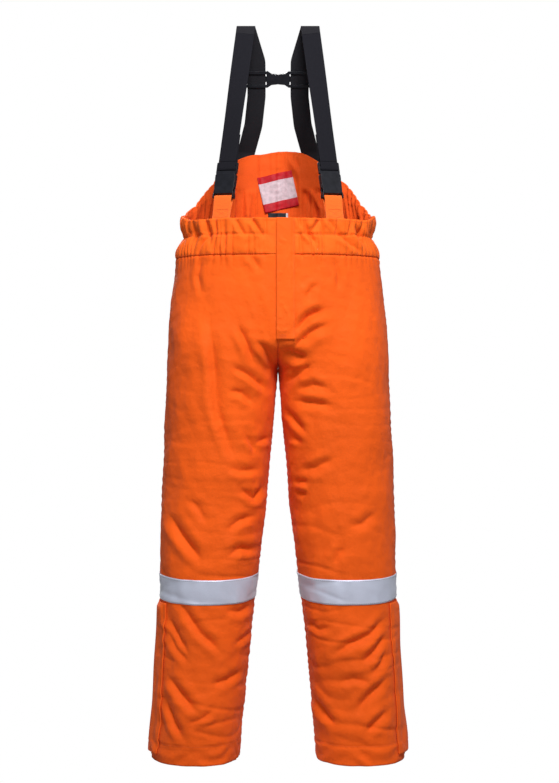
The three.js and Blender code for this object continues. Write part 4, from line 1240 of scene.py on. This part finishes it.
for side, name in SIDES.items():
    sewn, over, inwards, up, shoulder = brace_frame(side)

    def local(y, z):
        return sewn + inwards * y + up * z

    # the tab, round the bar at the socket's foot
    seat = WEBBING / 2 + 0.15
    bar = SLOT_FOOT + BAR_GAP
    turn_z = bar + WEBBING
    tab_points = [local(y, z) for y, z in [
        (-seat, 0), (-seat, SOCKET_FOOT - 26), (-LOOP_OUT, SOCKET_FOOT - 4), (-LOOP_OUT, bar),
        (-LOOP_OUT + WEBBING, turn_z), (LOOP_OUT - WEBBING, turn_z), (LOOP_OUT, bar),
        (LOOP_OUT, SOCKET_FOOT - 4), (seat, SOCKET_FOOT - 26), (seat, 0)]]
    _, *route = webbing(f"{name}_brace_tab", tab_points, [over] * len(tab_points),
                        tab_webbing, step=LOOP_STEP)
    cross_stitch(f"{name}_brace_tab_stitches", route, 0.12, 0.245, thread_cloth,
                 1 if route[2][4] @ inwards < 0 else -1)
    for part, bevel, segments in (("socket", 0.8, 3), ("ladder", 0.6, 3), ("prong_a", 0.4, 2),
                                  ("prong_b", 0.4, 2)):
        finished_copy(f"{name}_buckle_{part}", black_plastic, bevel, segments)

    # the strap end, round the ladder's middle bar
    under, at_bar = MIDDLE_BAR - 3.9, MIDDLE_BAR - BAR_GAP
    end_points = [local(y, z) for y, z in [
        (-LOOP_OUT, LADDER_TOP + 1), (-LOOP_OUT, at_bar), (-LOOP_OUT + WEBBING, under),
        (LOOP_OUT - WEBBING, under), (LOOP_OUT, at_bar), (LOOP_OUT, LADDER_TOP + 2),
        (TAIL_Y, LADDER_TOP + 18), (TAIL_Y, LADDER_TOP + TAIL_LENGTH)]]
    webbing(f"{name}_strap_end", end_points, [over] * len(end_points),
            front_webbing, rides_on=f"{name}_clip", step=LOOP_STEP)

    # the front strap, from just above the ladder up to its seam below the shoulder
    seam_low = np.linalg.norm(shoulder - sewn) - STRAP_SEAM_DROP
    seam_up = seam_low + BAR_GAP
    strap_foot = LADDER_TOP + 1.3
    shares = np.linspace(0, 1, 9)
    strap, *_ = webbing(f"{name}_front_strap",
                        [local(mix(-LOOP_OUT, 0, s), mix(strap_foot, seam_up, s)) for s in shares],
                        [mix(over, LEVEL, smoothstep(s, 0.2, 1.0)) for s in shares],
                        front_webbing)
    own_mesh(strap)

    # the back strap, over the shoulder, through the slider and down the high back
    anchor_x = FOLD_X + 2

    def on_back(x, z):
        return body(side, turn_at(x, z, -1), z, -0.8 - WEBBING / 2, 0)

    edge_z = float(top_edge(turn_at(anchor_x, BACK_TOP_Z - 4, -1)))
    meet = on_back(anchor_x, edge_z + 4)
    back_top = np.array([side * FOLD_X, FOLD_FLAT / 2 + FOLD_EASE, SHOULDER_Z])
    run = np.linalg.norm(meet - back_top)
    slider, reach = BACK_SLIDER_DROP / run, BACK_SLIDER_REACH / run
    apex = FOLD_Z - WEBBING / 2

    def lowered(s, x):
        spot = mix(back_top, meet, s)
        return np.array([side * x, spot[1], spot[2]])

    sewn_ends = [meet, on_back(anchor_x + 3, edge_z - BACK_ANCHOR_LENGTH / 2),
                 on_back(anchor_x + 5, edge_z - BACK_ANCHOR_LENGTH)]
    back_points = [
        local(0, seam_up), shoulder, np.array([side * FOLD_X, -FOLD_FLAT / 2, apex]),
        np.array([side * FOLD_X, FOLD_FLAT / 2, apex]), back_top,
        lowered(slider - reach, BACK_STRAP_X), lowered(slider, BACK_STRAP_X),
        lowered(slider + reach, BACK_STRAP_X), lowered((1 + slider + reach) / 2, BACK_STRAP_X + 7),
        *(end + [0, 0.7, 0] for end in sewn_ends)]
    yoke = np.array([1.0, -side * 0.28, 0])
    # the back strap's webbing is painted lighter to make up for the shade it hangs in
    _, *route = webbing(f"{name}_back_strap", back_points, [LEVEL] * 9 + [yoke] * 3,
                        lightened_back_webbing)
    cross_stitch(f"{name}_back_strap_stitches", route, 0.84, 0.985, black_thread,
                 1 if route[2][-3][1] > 0 else -1)
finished_copy("back_slider", black_plastic, 0.9, 3)


# ---- Studio: white floor and room, three softboxes, camera ----
WHITE = (1, 1, 1, 1)
LENS = 67.3


def seen_or_lit(nodes, links, kind, lit, output):
    """White to the camera itself, and the lit shader to everything that the camera sees."""
    seen = node(nodes, kind, Color=WHITE, Strength=1.0)
    rays, choose = nodes.new("ShaderNodeLightPath"), nodes.new("ShaderNodeMixShader")
    for socket, shader in zip(choose.inputs, (rays.outputs["Is Camera Ray"], lit, seen.outputs[0])):
        links.new(shader, socket)
    links.new(choose.outputs[0], output.inputs["Surface"])


def studio_floor():
    bm = bmesh.new()
    bmesh.ops.create_grid(bm, x_segments=2, y_segments=2, size=30)
    mesh = made_mesh(bm, "studio_floor")
    paint = Paint("matt_white_floor")
    mesh.materials.append(paint.feed({
        "Base Color": (0.35, 0.35, 0.35, 1), "Roughness": 0.9, "Specular IOR Level": 0.1}))
    seen_or_lit(paint.nodes, paint.links, "ShaderNodeEmission", paint.surface.outputs["BSDF"],
                paint.nodes["Material Output"])
    placed("studio_floor", mesh)


def white_room():
    world = bpy.data.worlds.new("white_room")
    bpy.context.scene.world = world
    world.use_nodes = True
    nodes, links = world.node_tree.nodes, world.node_tree.links
    nodes.clear()
    lit = node(nodes, "ShaderNodeBackground", Color=(0.94, 0.97, 1, 1), Strength=0.19)
    seen_or_lit(nodes, links, "ShaderNodeBackground", lit.outputs[0],
                nodes.new("ShaderNodeOutputWorld"))


def softbox(name, place, target, size, power):
    light = bpy.data.lights.new(name, "AREA")
    light.shape = "RECTANGLE"
    light.size, light.size_y = size
    light.energy = power
    item = placed(name, light)
    item.location = place
    item.rotation_mode = "QUATERNION"
    item.rotation_quaternion = (Vector(target) - Vector(place)).to_track_quat("-Z", "Y")


def portrait_camera():
    camera = bpy.data.cameras.new("portrait")
    camera.lens = LENS
    item = placed("portrait", camera)
    item.location = (0.003, -3.0, 0.7425)
    item.rotation_euler = (math.pi / 2, 0, 0)
    bpy.context.scene.camera = item


studio_floor()
softbox("key_softbox", (0.3, -1.8, 2.65), (0, 0, 1.1), (0.8, 0.8), 82)
softbox("fill_softbox", (-0.5, -3.2, 1.4), (0, 0, 0.8), (1.0, 1.4), 10)
softbox("back_softbox", (-0.6, 2.4, 2.4), (0, 0, 0.9), (1.4, 1.2), 85)
white_room()
portrait_camera()
bpy.context.scene.view_settings.view_transform = "Standard"
